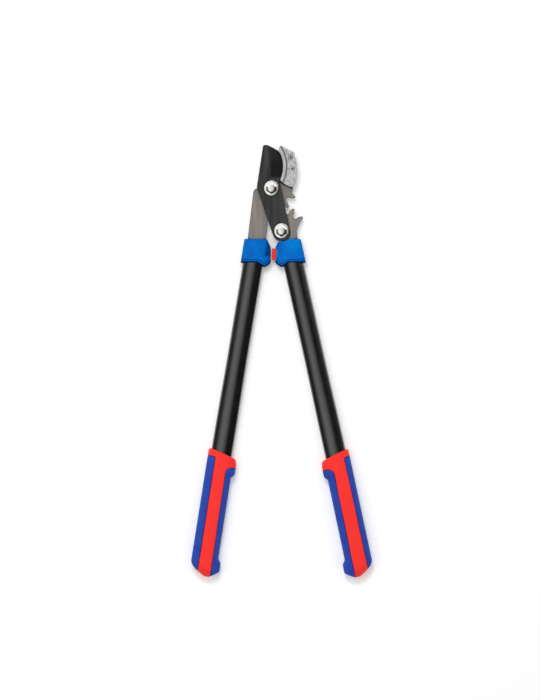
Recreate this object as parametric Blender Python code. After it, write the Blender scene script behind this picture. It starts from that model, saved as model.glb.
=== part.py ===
"""Geared anvil lopper, in metres, lying on its back with +Z up and its blade pointing to +Y.

The world's origin is where the axis of the main pivot meets the surface that the lopper lies on.
The left handle carries the hook arm and the anvil. The blade lever turns on the main pivot, and the
right handle turns on the link pivot at the end of the blade's tail. Teeth on both arms mesh, so the
right handle rolls round the left one. The model stands closed, with the bumper near the left collar.
"""

import math

import bmesh
import bpy
from mathutils import Vector

MM = 0.001
DEG = math.pi / 180.0

# Clearances
GAP = 0.3 * MM
EDGE_GAP = 0.36 * MM
TOOTH_BACKLASH = 1.2 * MM

# Gear pair: two equal sectors; the hook arm's is still, and the right arm's rolls round it
PIVOT_DISTANCE = 72.2 * MM
GEAR_TEETH = 13
PRESSURE_ANGLE = 18.0 * DEG
LINK_DIRECTION = -76.7 * DEG
TOOTH_PHASE = 0.5 * DEG
SECTOR_TEETH = 4
TOOTH_ADDENDUM = 5.6 * MM
TOOTH_DEDENDUM = 6.6 * MM
TOOTH_FILLET_RISES = (0.0, 0.35 * MM, 1.6 * MM)
TOOTH_FILLET_FLARES = (0.085, 0.045, 0.005)
TOOTH_FLANK_START = 2.2 * MM
TOOTH_TIP_ROUND = 1.4 * MM
TOOTH_TIP_DROPS = (0.4 * MM, 0.0)
TOOTH_TIP_SHARES = (0.86, 0.5)

# Stack on both pivots, from the surface up
BOLT_RUNOUT = 2.4 * MM
NUT_HEIGHT = 8.0 * MM
NUT_ACROSS_FLATS = 17.0 * MM
NUT_COLLAR_HEIGHT = 2.0 * MM
WASHER_THICKNESS = 1.5 * MM
WASHER_RADIUS = 11.0 * MM
ARM_THICKNESS = 5.0 * MM
PLATE_CHAMFER = 0.4 * MM
SPACER_THICKNESS = 1.0 * MM
SPACER_RADIUS = 13.0 * MM
BLADE_THICKNESS = 5.0 * MM
FLANGE_THICKNESS = 2.6 * MM
FLANGE_RADIUS = 12.2 * MM
FLANGE_RIM_HEIGHT = 1.2 * MM
FLANGE_SHOULDER = 0.93
FLANGE_STEP = 0.2 * MM
HEAD_HEIGHT = 6.0 * MM
HEAD_ACROSS_FLATS = 18.0 * MM
HEAD_SINK = 0.4 * MM
HEAD_CORNER_DROP = 1.9 * MM
HEAD_CROWN_RISE = 0.4 * MM
HEAD_CROWN_SHARES = (0.84, 0.5)
BOLT_RADIUS = 5.0 * MM
BOLT_END_CHAMFER = 0.8 * MM
NUT_COLLAR_SHARE = 0.46

# Blade lever
EDGE_RADIUS = 52.0 * MM
EDGE_REACH = 19.2 * MM
EDGE_LEVEL = 35.7 * MM
EDGE_BOTTOM = 14.0 * MM
EDGE_TOP = 58.0 * MM
BLADE_TIP_Y = 71.0 * MM
TIP_WIDTH = 7.5 * MM
SPINE_TIP_X = -13.8 * MM
SPINE_KINK_X = -24.3 * MM
SPINE_KINK_Y = 1.2 * MM
HEEL_X = 15.4 * MM
HEEL_Y = 2.0 * MM
TAIL_END_RADIUS = 14.5 * MM
TAIL_END_SHIFT = (-0.4 * MM, -2.4 * MM)
HEEL_ROUND = 10.0 * MM
HEEL_NOTCH_IN = 2.4 * MM
HEEL_NOTCH_DROP = 5.0 * MM
TIP_SHOULDER_IN = 3.4 * MM
TIP_SHOULDER_RISE = 3.8 * MM
TIP_ROUND = 6.0 * MM
BLADE_CORNER_ROUND = 3.0 * MM
SPINE_ROUND = 16.0 * MM
BEVEL_LINE_X = -1.0 * MM
BEVEL_HEEL_Y = 19.1 * MM
BEVEL_LEAST_WIDTH = 6.0 * MM
GRIND_LEAD_IN = 2.0 * MM
GRIND_LEAD_OUT = 4.0 * MM
EDGE_THICKNESS = 0.6 * MM

# Anvil
ANVIL_DEPTH = 14.0 * MM
ANVIL_LIP = 5.8 * MM
ANVIL_GROOVE_WIDTH = 2.0 * MM
ANVIL_GROOVE_DEPTH = 1.6 * MM
ANVIL_BACK_RADIUS = 75.0 * MM
ANVIL_WIDTH = 22.5 * MM
ANVIL_BACK_LEVEL = 30.0 * MM
ANVIL_BOTTOM_Y = 1.8 * MM
ANVIL_TOP_Y = 69.5 * MM
ANVIL_SHOULDER_Y = 59.0 * MM
ANVIL_ROUND = 0.8 * MM
CONTACT_END_DROP = 7.0 * MM
ANVIL_TOE = (0.6 * MM, -2.2 * MM, 1.0 * MM)
ANVIL_THROAT = (6.0 * MM, 5.4 * MM, 6.0 * MM)
ANVIL_FOOT = (0.42 * ANVIL_WIDTH, 0.6 * MM, 5.0 * MM)
ANVIL_HEEL = (0.7 * ANVIL_WIDTH, 0.0, 3.0 * MM)
ANVIL_SHOULDER = (0.78 * ANVIL_WIDTH, 0.0, 3.0 * MM)
ANVIL_BACK_START = 4.5 * MM
ANVIL_BACK_STOP = 8.0 * MM
LIP_FOOT = (4.5 * MM, -3.8 * MM, 4.0 * MM)
LIP_NOSE = (1.8 * MM, -0.8 * MM, 1.2 * MM)
LIP_CORNER_ROUND = 2.0 * MM
GROOVE_END = 4.0 * MM
POCKET_WALL = 7.0 * MM
POCKET_SILL_RISE = 1.5 * MM
HOOK_INSET = 2.0 * MM
SCREW_RADIUS = 2.5 * MM
SCREW_HEAD_RADIUS = 4.2 * MM
SCREW_HEAD_HEIGHT = 2.6 * MM
SCREW_HEAD_BEVEL = 1.4 * MM
SCREW_HEAD_BEVEL_DROP = 0.9 * MM
SOCKET_RADIUS = 1.6 * MM
SOCKET_DEPTH = 1.4 * MM
SCREW_RECESS = 0.8 * MM
SCREW_SETBACK = 14.6 * MM
UPPER_SCREW_Y = 50.5 * MM
LOWER_SCREW_Y = 31.5 * MM

# Handles: lean of each tube, and the point on its axis that lies level with the middle of the collar
LEFT_LEAN = 9.4 * DEG
RIGHT_LEAN = 12.5 * DEG
LEFT_HEAD_X = -26.6 * MM
RIGHT_HEAD_X = 30.8 * MM
HEAD_Y = -100.0 * MM
STRAP_OUTER_X = -29.6 * MM
STRAP_INNER_X = -0.1 * MM
STRAP_LEAN = -0.115
STRAP_TOP_Y = -52.0 * MM
STRAP_SHOULDER_X = -29.6 * MM
STRAP_SHOULDER_Y = -3.0 * MM
TANG_WIDTH = 22.0 * MM
TANG_LENGTH = 44.0 * MM
EYE_RADIUS = 15.0 * MM
NECK_REACH = 24.5 * MM
ARM_SHOULDER_REACH = 26.2 * MM
HOOK_NECK_X = 35.2 * MM
HOOK_NECK_Y = -1.5 * MM
HOOK_NECK_ROUND = 4.0 * MM
HOOK_BACK_START = 3.0 * MM
HOOK_BACK_STOP = 6.0 * MM
HOOK_SHOULDER_DROP = 3.5 * MM
HOOK_SHOULDER_IN = 7.0 * MM
HOOK_CORNER_ROUND = 3.0 * MM
HOOK_TIP_ROUND = 2.0 * MM
HOOK_INNER_START = 1.0 * MM
EYE_INNER = (0.6 * EYE_RADIUS, EYE_RADIUS, 8.0 * MM)
EYE_OUTER = (-0.75 * EYE_RADIUS, 0.85 * EYE_RADIUS, 9.0 * MM)
STRAP_CREST = (6.0 * MM, 3.5 * MM, 4.0 * MM)
STRAP_SHOULDER_ROUND = 7.0 * MM
STRAP_TOP_ROUND = 8.0 * MM
ARM_FOOT_ROUND = 1.0 * MM
TANG_ROUND = 3.0 * MM
NECK_RISE = 1.5 * MM
NECK_ROUND = 9.0 * MM
FORK_BACK = (-EYE_RADIUS, 1.3 * EYE_RADIUS, 6.0 * MM)
EYE_ARC_START = 170.0 * DEG

# Tubes
TUBE_HALF_WIDTH = 16.2 * MM
TUBE_HALF_DEPTH = 10.2 * MM
TUBE_LOW_HALF_WIDTH = 17.0 * MM
TUBE_LOW_HALF_DEPTH = 9.6 * MM
TUBE_WALL = 1.6 * MM
TUBE_TOP = 5.0 * MM
TUBE_FLARE_LENGTH = 100.0 * MM
TUBE_FLARE_MARGIN = 18.0 * MM
TUBE_SQUARENESS = 2.3
RIVET_RADIUS = 3.0 * MM
RIVET_CHAMFER = 0.5 * MM
UPPER_RIVET_DROP = 8.0 * MM
RIVET_PITCH = 13.0 * MM

# Collars
COLLAR_HALF_WIDTH = 20.5 * MM
COLLAR_HALF_DEPTH = 13.0 * MM
COLLAR_RISE = 16.9 * MM
COLLAR_DROP = 21.5 * MM
COLLAR_SKIRT = 5.0 * MM
COLLAR_SKIRT_START = 2.0 * MM
COLLAR_THROAT = 16.0 * MM
COLLAR_ROUND = 5.0 * MM
COLLAR_OUTER_ROUND = 3.0 * MM
COLLAR_LIP_ROUND = 1.5 * MM
COLLAR_BELLY_ROUND = 16.0 * MM
COLLAR_BELLY_REACH = COLLAR_HALF_WIDTH - 8.0 * MM
COLLAR_SKIRT_ROUND = 4.0 * MM
COLLAR_TOE_REACH = 6.0 * MM
COLLAR_TOE_RISE = 1.0 * MM
COLLAR_FACE_ROUND = 3.0 * MM
COLLAR_FACE_DROP = 1.5 * MM
COLLAR_FACE_RISE = 2.5 * MM
COLLAR_FACE_TOP_ROUND = 4.0 * MM
COLLAR_THROAT_ROUND = 5.0 * MM
BUMPER_ROUND = 1.2 * MM
BUMPER_HEIGHT = 19.0 * MM
BUMPER_DEPTH = 15.0 * MM
BUMPER_FACE_X = 0.6 * MM
BUMPER_PROUD = 5.8 * MM
STOP_CLEARANCE = 1.8 * MM
BUMPER_SEAT = 1.6 * MM
BUMPER_DROP = 8.5 * MM

# Grips
LEFT_GRIP_START = 335.4 * MM
RIGHT_GRIP_START = 341.6 * MM
GRIP_LENGTH = 209.5 * MM
GRIP_HALF_WIDTH = 21.2 * MM
GRIP_SQUARENESS = 2.5
GRIP_TOP_SLANT = 10.5 * MM
GRIP_TOP_ROUND = 1.2 * MM
GRIP_CROWN = 0.4 * MM
GRIP_SLANT_FADE = 26.0 * MM
GUARD_HEIGHT = 6.2 * MM
GUARD_START = 6.5 * MM
GUARD_RISE = 15.0 * MM
GUARD_LENGTH = 29.5 * MM
GUARD_FALL = 8.5 * MM
KNOB_HEIGHT = 7.2 * MM
KNOB_LENGTH = 33.5 * MM
KNOB_RISE = 10.0 * MM
END_OUTER_LENGTH = 23.5 * MM
END_OUTER_DRAW = 25.0 * MM
END_OUTER_POWER = 1.9
END_INNER_LENGTH = 11.5 * MM
END_INNER_DRAW = 16.0 * MM
END_INNER_POWER = 1.3
END_LEAST_DEPTH = 0.35
GRIP_TOP_TUCK = 2.2 * MM
STRIPE_HALF_WIDTH = 10.4 * MM
PAD_THICKNESS = 1.7 * MM
OUTER_PAD_TOP = 12.0 * MM
INNER_PAD_TOP = 26.2 * MM
OUTER_PAD_CORNER = 6.0 * MM
INNER_PAD_CORNER = 9.6 * MM
TUBE_END_MARGIN = 22.0 * MM

# Facets, and where along the grip its sections lie, as shares of each stretch
ROUND_STEPS = 24
SHANK_STEPS = 16
OVAL_STEPS = 20
EDGE_STEPS = 12
BACK_STEPS = 6
GRIND_ROWS = 10
FLANK_STEPS = 3
ARC_STEP = 15.0 * DEG
SMOOTH_ANGLE = 30.0 * DEG
GUARD_RISE_SHARES = (0.35, 0.7, 1.0)
GUARD_FALL_SHARES = (0.0, 0.25, 0.6, 1.0)
KNOB_RISE_SHARES = (0.0, 0.3, 0.7, 1.0)
END_SHARES = (1.5, 1.0, 0.65, 0.35, 0.1, 0.0)

# How far a cutter runs past what it cuts, and how sharp a corner counts as straight
CUT_PAST = 5.0 * MM
STRAIGHT = 1e-4
LONGEST_TANGENT = 0.48

# Worked out from the sizes above
GEAR_RADIUS = PIVOT_DISTANCE / 2
LINK = Vector((math.cos(LINK_DIRECTION), math.sin(LINK_DIRECTION))) * PIVOT_DISTANCE
NUT_Z = BOLT_RUNOUT
WASHER_Z = NUT_Z + NUT_HEIGHT + GAP
ARM_Z = WASHER_Z + WASHER_THICKNESS + GAP
SPACER_Z = ARM_Z + ARM_THICKNESS + GAP
BLADE_Z = SPACER_Z + SPACER_THICKNESS + GAP
FLANGE_Z = BLADE_Z + BLADE_THICKNESS + GAP
BLADE_MID_Z = BLADE_Z + BLADE_THICKNESS / 2
HANDLE_Z = ARM_Z + ARM_THICKNESS / 2
BORE_RADIUS = BOLT_RADIUS + GAP
EDGE_CENTRE = Vector((EDGE_REACH - EDGE_RADIUS, EDGE_LEVEL))
ANVIL_Z = BLADE_MID_Z - ANVIL_DEPTH / 2
ANVIL_TOP_Z = BLADE_MID_Z + ANVIL_DEPTH / 2
COLLAR_TOP_Y = HEAD_Y + COLLAR_RISE
HOOK_TOP_Y = ANVIL_SHOULDER_Y + 0.5 * HOOK_INSET


def arc(centre, radius, start, end, steps=None):
    """Points on an arc from start to end, both in radians and both included."""
    if steps is None:
        steps = max(1, math.ceil(abs(end - start) / ARC_STEP - 1e-3))
    angles = (start + (end - start) * i / steps for i in range(steps + 1))
    return [Vector((centre[0] + radius * math.cos(a), centre[1] + radius * math.sin(a))) for a in angles]


def rounded(corners):
    """Outline through (x, y, radius) corners, each with a tangent arc of its radius; 0 leaves it sharp."""
    points = []
    for i, (x, y, radius) in enumerate(corners):
        here = Vector((x, y))
        before = Vector(corners[i - 1][:2]) - here
        after = Vector(corners[(i + 1) % len(corners)][:2]) - here
        turn = before.angle(after)
        if radius <= 0 or turn > math.pi - STRAIGHT:
            points.append(here)
            continue
        longest = LONGEST_TANGENT * min(before.length, after.length)
        reach = min(radius / math.tan(turn / 2), longest)
        fitted = reach * math.tan(turn / 2)
        inwards = (before.normalized() + after.normalized()).normalized()
        centre = here + inwards * (fitted / math.sin(turn / 2))
        first = here + before.normalized() * reach - centre
        last = here + after.normalized() * reach - centre
        start = math.atan2(first.y, first.x)
        sweep = first.angle_signed(last)
        points += arc(centre, fitted, start, start - sweep)
    return points


def tangent_point(outside, centre, radius, side):
    """Where the line from a point outside a circle touches it; side is +1 or -1 for the two lines."""
    away = Vector(outside) - Vector(centre)
    angle = math.atan2(away.y, away.x) + side * math.acos(radius / away.length)
    return Vector(centre) + radius * Vector((math.cos(angle), math.sin(angle)))


def smooth_step(t):
    t = min(max(t, 0.0), 1.0)
    return t * t * (3 - 2 * t)


def material(name, colour, roughness, metallic):
    made = bpy.data.materials.new(name)
    made.use_nodes = True
    shader = made.node_tree.nodes["Principled BSDF"]
    shader.inputs["Base Color"].default_value = (*colour, 1.0)
    shader.inputs["Roughness"].default_value = roughness
    shader.inputs["Metallic"].default_value = metallic
    return made


def frame(name, location, turn=0.0, parent=None):
    """An empty that carries the pieces of one body or one handle."""
    empty = bpy.data.objects.new(name, None)
    empty.location = location
    empty.rotation_euler = (0, 0, turn)
    empty.parent = parent
    bpy.context.scene.collection.objects.link(empty)
    return empty


def place(name, bm, parent, finish=None):
    """An object from a bmesh; one with no finish is a cutter, which takes no part in the model."""
    bmesh.ops.recalc_face_normals(bm, faces=bm.faces)
    mesh = bpy.data.meshes.new(name)
    bm.to_mesh(mesh)
    bm.free()
    made = bpy.data.objects.new(name, mesh)
    made.parent = parent
    bpy.context.scene.collection.objects.link(made)
    if finish is None:
        made.hide_render = True
        made.display_type = "WIRE"
    else:
        mesh.materials.append(finish)
        mesh.shade_smooth()
        mesh.set_sharp_from_angle(angle=SMOOTH_ANGLE)
    return made


def prism(outline, low, high):
    """Bmesh of a flat outline raised from low to high."""
    bm = bmesh.new()
    face = bm.faces.new([bm.verts.new((p[0], p[1], low)) for p in outline])
    raised = bmesh.ops.extrude_face_region(bm, geom=[face])
    risen = [v for v in raised["geom"] if isinstance(v, bmesh.types.BMVert)]
    bmesh.ops.translate(bm, verts=risen, vec=(0, 0, high - low))
    return bm


def offset_corners(corners, inset):
    """The (x, y, radius) corners of an outline drawn in by inset, each with the radius that it had."""
    area = sum(a[0] * b[1] - b[0] * a[1] for a, b in zip(corners, corners[1:] + corners[:1]))
    inwards = math.copysign(inset, area)
    moved = []
    for i, (x, y, radius) in enumerate(corners):
        before = (Vector((x, y)) - Vector(corners[i - 1][:2])).normalized()
        after = (Vector(corners[(i + 1) % len(corners)][:2]) - Vector((x, y))).normalized()
        mitre = Vector((-before.y - after.y, before.x + after.x))
        mitre *= inwards / (1 + before.dot(after))
        moved.append((x + mitre.x, y + mitre.y, radius))
    return moved


def plate(outline, low, high, round_over, steps=1):
    """Bmesh of a flat outline raised from low to high, with its long edges rounded over in steps."""
    rings = []
    corners = sharp(outline)
    for end, up in ((low, 1), (high, -1)):
        turns = [math.pi / 2 * i / steps for i in range(steps + 1)]
        for turn in turns[::up]:
            drawn = offset_corners(corners, round_over * (1 - math.sin(turn)))
            height = end + up * round_over * (1 - math.cos(turn))
            rings.append([(x, y, height) for x, y, _ in drawn])
    return loft(rings)


def cushion(corners, low, high, round_over, steps=3):
    """Bmesh of a moulded block: (x, y, radius) corners, with edges rounded over more than its corners are."""
    rings = []
    for end, up in ((low, 1), (high, -1)):
        turns = [math.pi / 2 * i / steps for i in range(steps + 1)]
        for turn in turns[::up]:
            drawn = rounded(offset_corners(corners, round_over * (1 - math.sin(turn))))
            height = end + up * round_over * (1 - math.cos(turn))
            rings.append([(p.x, p.y, height) for p in drawn])
    return loft(rings)


def loft(rings):
    """Bmesh of a skin over closed rings of points, with both ends filled."""
    bm = bmesh.new()
    made = [[bm.verts.new(p) for p in ring] for ring in rings]
    for low, high in zip(made, made[1:]):
        for i in range(len(low)):
            j = (i + 1) % len(low)
            bm.faces.new((low[i], low[j], high[j], high[i]))
    bm.faces.new(reversed(made[0]))
    bm.faces.new(made[-1])
    return bm


def turned(profile, centre, steps):
    """Bmesh of a (radius, height) profile turned round the vertical axis through centre."""
    rings = []
    for radius, height in profile:
        flat = arc(centre, radius, 0, 2 * math.pi * (steps - 1) / steps, steps - 1)
        rings.append([(p.x, p.y, height) for p in flat])
    return loft(rings)


def cylinder(centre, radius, low, high, steps=SHANK_STEPS):
    return turned([(radius, low), (radius, high)], centre, steps)


def boolean(target, other, operation="DIFFERENCE"):
    modifier = target.modifiers.new(other.name, "BOOLEAN")
    modifier.operation = operation
    modifier.solver = "EXACT"
    modifier.object = other


def drill(target, name, centre, radius, low, high, steps=SHANK_STEPS):
    boolean(target, place(name, cylinder(centre, radius, low, high, steps), target.parent))


def shift(points, offset):
    return [Vector((p[0] - offset[0], p[1] - offset[1])) for p in points]


def involute(angle):
    return math.tan(angle) - angle


def tooth(centre, angle, foot_before=None, foot_after=None):
    """One tooth's outline, anticlockwise; a side without a fillet starts at the radius given for its foot."""
    base = GEAR_RADIUS * math.cos(PRESSURE_ANGLE)
    root = GEAR_RADIUS - TOOTH_DEDENDUM
    tip = GEAR_RADIUS + TOOTH_ADDENDUM
    quarter = math.pi / (2 * GEAR_TEETH) - TOOTH_BACKLASH / (2 * GEAR_RADIUS)

    def half_angle(radius):
        tilt = math.acos(min(1.0, base / radius))
        return quarter + involute(PRESSURE_ANGLE) - involute(tilt)

    def point(radius, offset):
        return Vector(centre) + radius * Vector((math.cos(angle + offset), math.sin(angle + offset)))

    def flank(foot):
        """(radius, half angle) pairs from the foot up to the round at the tip."""
        widest = half_angle(base)
        pairs = []
        if foot is None:
            fillet = zip(TOOTH_FILLET_RISES, TOOTH_FILLET_FLARES)
            pairs = [(root + rise, widest + flare) for rise, flare in fillet]
            foot = root + TOOTH_FLANK_START
        low = max(base, foot)
        high = tip - TOOTH_TIP_ROUND
        for i in range(FLANK_STEPS + 1):
            radius = low + (high - low) * i / FLANK_STEPS
            pairs.append((radius, half_angle(radius)))
        edge = half_angle(high)
        rounding = zip(TOOTH_TIP_DROPS, TOOTH_TIP_SHARES)
        return pairs + [(tip - drop, share * edge) for drop, share in rounding]

    rising = [point(r, -h) for r, h in flank(foot_before)]
    falling = [point(r, h) for r, h in reversed(flank(foot_after))]
    return rising + falling


def gear_angles():
    """Angles of the teeth of both sectors at rest, each list anticlockwise."""
    pitch = 2 * math.pi / GEAR_TEETH
    hook_first = LINK_DIRECTION + TOOTH_PHASE - pitch
    arm_gap = LINK_DIRECTION + math.pi - TOOTH_PHASE
    arm_first = arm_gap - pitch * (SECTOR_TEETH - 1.5)
    hook = [hook_first + pitch * i for i in range(SECTOR_TEETH)]
    arm = [arm_first + pitch * i for i in range(SECTOR_TEETH)]
    return hook, arm


def handle_axes(side):
    """Head point, upward direction and inward direction of a handle; side is +1 for left and -1 for right."""
    lean = LEFT_LEAN if side > 0 else -RIGHT_LEAN
    head = Vector((LEFT_HEAD_X if side > 0 else RIGHT_HEAD_X, HEAD_Y))
    up = Vector((math.sin(lean), math.cos(lean)))
    return head, up, Vector((up.y, -up.x)) * side


def handle_point(side, across, along):
    """World place of a point across a handle's axis towards the other handle, and along it to the head."""
    head, up, inward = handle_axes(side)
    return head + inward * across + up * along


def at_level(side, across, level):
    """World place where a line beside a handle's axis crosses a height."""
    head, up, inward = handle_axes(side)
    along = (level - head.y - inward.y * across) / up.y
    return handle_point(side, across, along)


def sharp(points):
    return [(p[0], p[1], 0) for p in points]


def edge_x(level, radius):
    """Where the arc of the cutting edge, or one parallel to it, crosses a height."""
    return EDGE_CENTRE.x + math.sqrt(radius**2 - (level - EDGE_CENTRE.y) ** 2)


def edge_arc(radius, low, high, steps=EDGE_STEPS):
    """Part of the cutting edge's arc, or of one parallel to it, between two heights, upwards."""
    start = math.asin((low - EDGE_CENTRE.y) / radius)
    end = math.asin((high - EDGE_CENTRE.y) / radius)
    return arc(EDGE_CENTRE, radius, start, end, steps)


def back_arc(inset, low, high):
    """Part of the anvil's back, or of a line inside it, between two heights, upwards."""
    radius = ANVIL_BACK_RADIUS - inset
    centre = (EDGE_REACH + ANVIL_WIDTH - ANVIL_BACK_RADIUS, ANVIL_BACK_LEVEL)
    start = math.asin((low - centre[1]) / radius)
    end = math.asin((high - centre[1]) / radius)
    return arc(centre, radius, start, end, BACK_STEPS)


def corner_from(origin, corner):
    """A corner given as (across, up, radius) from an origin."""
    return (origin[0] + corner[0], origin[1] + corner[1], corner[2])


def hook_arm(parent, steel):
    """Left arm: tang, strap, toothed sector round the main pivot, and the hook that holds the anvil."""
    level = COLLAR_TOP_Y + GAP
    corners = [
        (STRAP_OUTER_X - STRAP_LEAN * level, level, ARM_FOOT_ROUND),
        *tang_corners(1),
        (STRAP_INNER_X - STRAP_LEAN * level, level, ARM_FOOT_ROUND),
        (STRAP_INNER_X - STRAP_LEAN * STRAP_TOP_Y, STRAP_TOP_Y, STRAP_TOP_ROUND),
    ]
    angles = gear_angles()[0]
    first, *middle, last = angles
    whole = tooth((0, 0), first)
    corners += sharp(whole[len(whole) // 2 - 1 :])
    for angle in middle:
        corners += sharp(tooth((0, 0), angle))
    corners += sharp(tooth((0, 0), last, foot_after=GEAR_RADIUS * math.cos(PRESSURE_ANGLE)))
    corners += [(HOOK_NECK_X, HOOK_NECK_Y, HOOK_NECK_ROUND)]
    back_low = ANVIL_BOTTOM_Y + HOOK_BACK_START
    corners += sharp(back_arc(HOOK_INSET, back_low, HOOK_TOP_Y - HOOK_BACK_STOP))
    inner_edge = EDGE_RADIUS + POCKET_WALL + GAP
    shoulder_x = EDGE_REACH + ANVIL_WIDTH - HOOK_SHOULDER_IN
    corners += [
        (shoulder_x, HOOK_TOP_Y - HOOK_SHOULDER_DROP, HOOK_CORNER_ROUND),
        (edge_x(HOOK_TOP_Y, inner_edge), HOOK_TOP_Y, HOOK_TIP_ROUND),
    ]
    inner_top = HOOK_TOP_Y - HOOK_CORNER_ROUND
    corners += sharp(reversed(edge_arc(inner_edge, EDGE_BOTTOM - HOOK_INNER_START, inner_top)))
    corners += [
        EYE_INNER,
        EYE_OUTER,
        corner_from((STRAP_SHOULDER_X, STRAP_SHOULDER_Y), STRAP_CREST),
        (STRAP_SHOULDER_X, STRAP_SHOULDER_Y, STRAP_SHOULDER_ROUND),
    ]
    blank = plate(rounded(corners), ARM_Z, ARM_Z + ARM_THICKNESS, PLATE_CHAMFER)
    arm = place("hook_arm", blank, parent, steel)
    drill(arm, "hook_arm_pivot_bore", (0, 0), BORE_RADIUS, 0, BLADE_Z)
    for name, spot in screw_spots().items():
        drill(arm, "hook_arm_" + name, spot, SCREW_RADIUS + GAP, 0, BLADE_Z)
    rivet_holes(arm, 1, "hook_arm")


def tang_corners(side):
    """Tang of an arm between its two shoulders, anticlockwise."""
    level = COLLAR_TOP_Y + GAP
    foot = (level - HEAD_Y) - TANG_LENGTH
    outer_foot = (*handle_point(side, -TANG_WIDTH / 2, foot), TANG_ROUND)
    inner_foot = (*handle_point(side, TANG_WIDTH / 2, foot), TANG_ROUND)
    outer_top = (*at_level(side, -TANG_WIDTH / 2, level), 0)
    if side > 0:
        return [outer_top, outer_foot, inner_foot, (*at_level(side, TANG_WIDTH / 2, level), 0)]
    return [inner_foot, outer_foot, outer_top]


def right_arm(parent, steel):
    """Right arm: tang, neck, eye round the link pivot, and the forked sector that meshes with the other."""
    level = COLLAR_TOP_Y + GAP
    head, up, inward = handle_axes(-1)
    across = (LINK - head).dot(inward)
    along = (LINK - head).dot(up)
    drop = math.sqrt(EYE_RADIUS**2 - (TANG_WIDTH / 2 - across) ** 2)
    meet = handle_point(-1, TANG_WIDTH / 2, along - drop) - LINK
    meet_angle = math.atan2(meet.y, meet.x) % (2 * math.pi)
    corners = tang_corners(-1)
    corners += [
        (LINK.x + ARM_SHOULDER_REACH, level, ARM_FOOT_ROUND),
        (LINK.x + NECK_REACH, LINK.y + NECK_RISE, NECK_ROUND),
    ]
    first, *middle, last = gear_angles()[1]
    base = GEAR_RADIUS * math.cos(PRESSURE_ANGLE)
    corners += sharp(tooth(LINK, first, foot_before=base))
    for angle in middle:
        corners += sharp(tooth(LINK, angle))
    corners += sharp(tooth(LINK, last, foot_after=base))
    corners += [corner_from(LINK, FORK_BACK)]
    corners += sharp(arc(LINK, EYE_RADIUS, EYE_ARC_START, meet_angle))
    outline = rounded([(x - LINK.x, y - LINK.y, r) for x, y, r in corners])
    blank = plate(outline, ARM_Z, ARM_Z + ARM_THICKNESS, PLATE_CHAMFER)
    arm = place("right_arm", blank, parent, steel)
    drill(arm, "right_arm_pivot_bore", (0, 0), BORE_RADIUS, 0, BLADE_Z)
    rivet_holes(arm, -1, "right_arm")


def blade_outline():
    end_centre = LINK + Vector(TAIL_END_SHIFT)
    left = tangent_point((SPINE_KINK_X, SPINE_KINK_Y), end_centre, TAIL_END_RADIUS, 1) - end_centre
    right = tangent_point((HEEL_X, HEEL_Y), end_centre, TAIL_END_RADIUS, -1) - end_centre
    start = math.atan2(left.y, left.x) % (2 * math.pi)
    end = math.atan2(right.y, right.x) + 2 * math.pi
    corners = sharp(arc(end_centre, TAIL_END_RADIUS, start, end))
    corners += [
        (HEEL_X, HEEL_Y, HEEL_ROUND),
        (HEEL_X - HEEL_NOTCH_IN, EDGE_BOTTOM - HEEL_NOTCH_DROP, BLADE_CORNER_ROUND),
    ]
    corners += sharp(edge_arc(EDGE_RADIUS - EDGE_GAP, EDGE_BOTTOM, EDGE_TOP))
    shoulder_x = edge_x(EDGE_TOP, EDGE_RADIUS) - TIP_SHOULDER_IN
    corners += [
        (shoulder_x, EDGE_TOP + TIP_SHOULDER_RISE, BLADE_CORNER_ROUND),
        (SPINE_TIP_X + TIP_WIDTH, BLADE_TIP_Y, TIP_ROUND),
        (SPINE_TIP_X, BLADE_TIP_Y, BLADE_CORNER_ROUND),
        (SPINE_KINK_X, SPINE_KINK_Y, SPINE_ROUND),
    ]
    return rounded(corners)


def grind_cutter(name, parent, up):
    """What the grinding wheel takes off one face, from the bevel line out to the cutting edge."""
    face = BLADE_MID_Z + up * BLADE_THICKNESS / 2
    edge = BLADE_MID_Z + up * EDGE_THICKNESS / 2
    beyond = face + up * CUT_PAST
    rings = []
    for i in range(GRIND_ROWS + 1):
        level = BEVEL_HEEL_Y + (BLADE_TIP_Y + MM - BEVEL_HEEL_Y) * i / GRIND_ROWS
        out = edge_x(level, EDGE_RADIUS - EDGE_GAP)
        start = min(BEVEL_LINE_X, out - BEVEL_LEAST_WIDTH)
        slope = (edge - face) / (out - start)
        low, high = start - GRIND_LEAD_IN, out + GRIND_LEAD_OUT
        low_face = face - slope * GRIND_LEAD_IN
        high_face = edge + slope * GRIND_LEAD_OUT
        ring = [(low, low_face), (high, high_face), (high, beyond), (low, beyond)]
        rings.append([(x, level, z) for x, z in ring])
    return place(name, loft(rings), parent)


def blade_lever(parent, coated):
    """Blade and tail in one plate, ground on both faces to an edge that lands on the anvil's middle."""
    blank = plate(blade_outline(), BLADE_Z, BLADE_Z + BLADE_THICKNESS, PLATE_CHAMFER)
    lever = place("blade_lever", blank, parent, coated)
    boolean(lever, grind_cutter("front_grind", parent, 1))
    boolean(lever, grind_cutter("rear_grind", parent, -1))
    drill(lever, "lever_pivot_bore", (0, 0), BORE_RADIUS, 0, FLANGE_Z + CUT_PAST)
    drill(lever, "lever_link_bore", LINK, BORE_RADIUS, 0, FLANGE_Z + CUT_PAST)


def screw_spots():
    spots = {}
    for name, level in (("upper_screw_hole", UPPER_SCREW_Y), ("lower_screw_hole", LOWER_SCREW_Y)):
        spots[name] = (edge_x(level, EDGE_RADIUS) + SCREW_SETBACK, level)
    return spots


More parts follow.
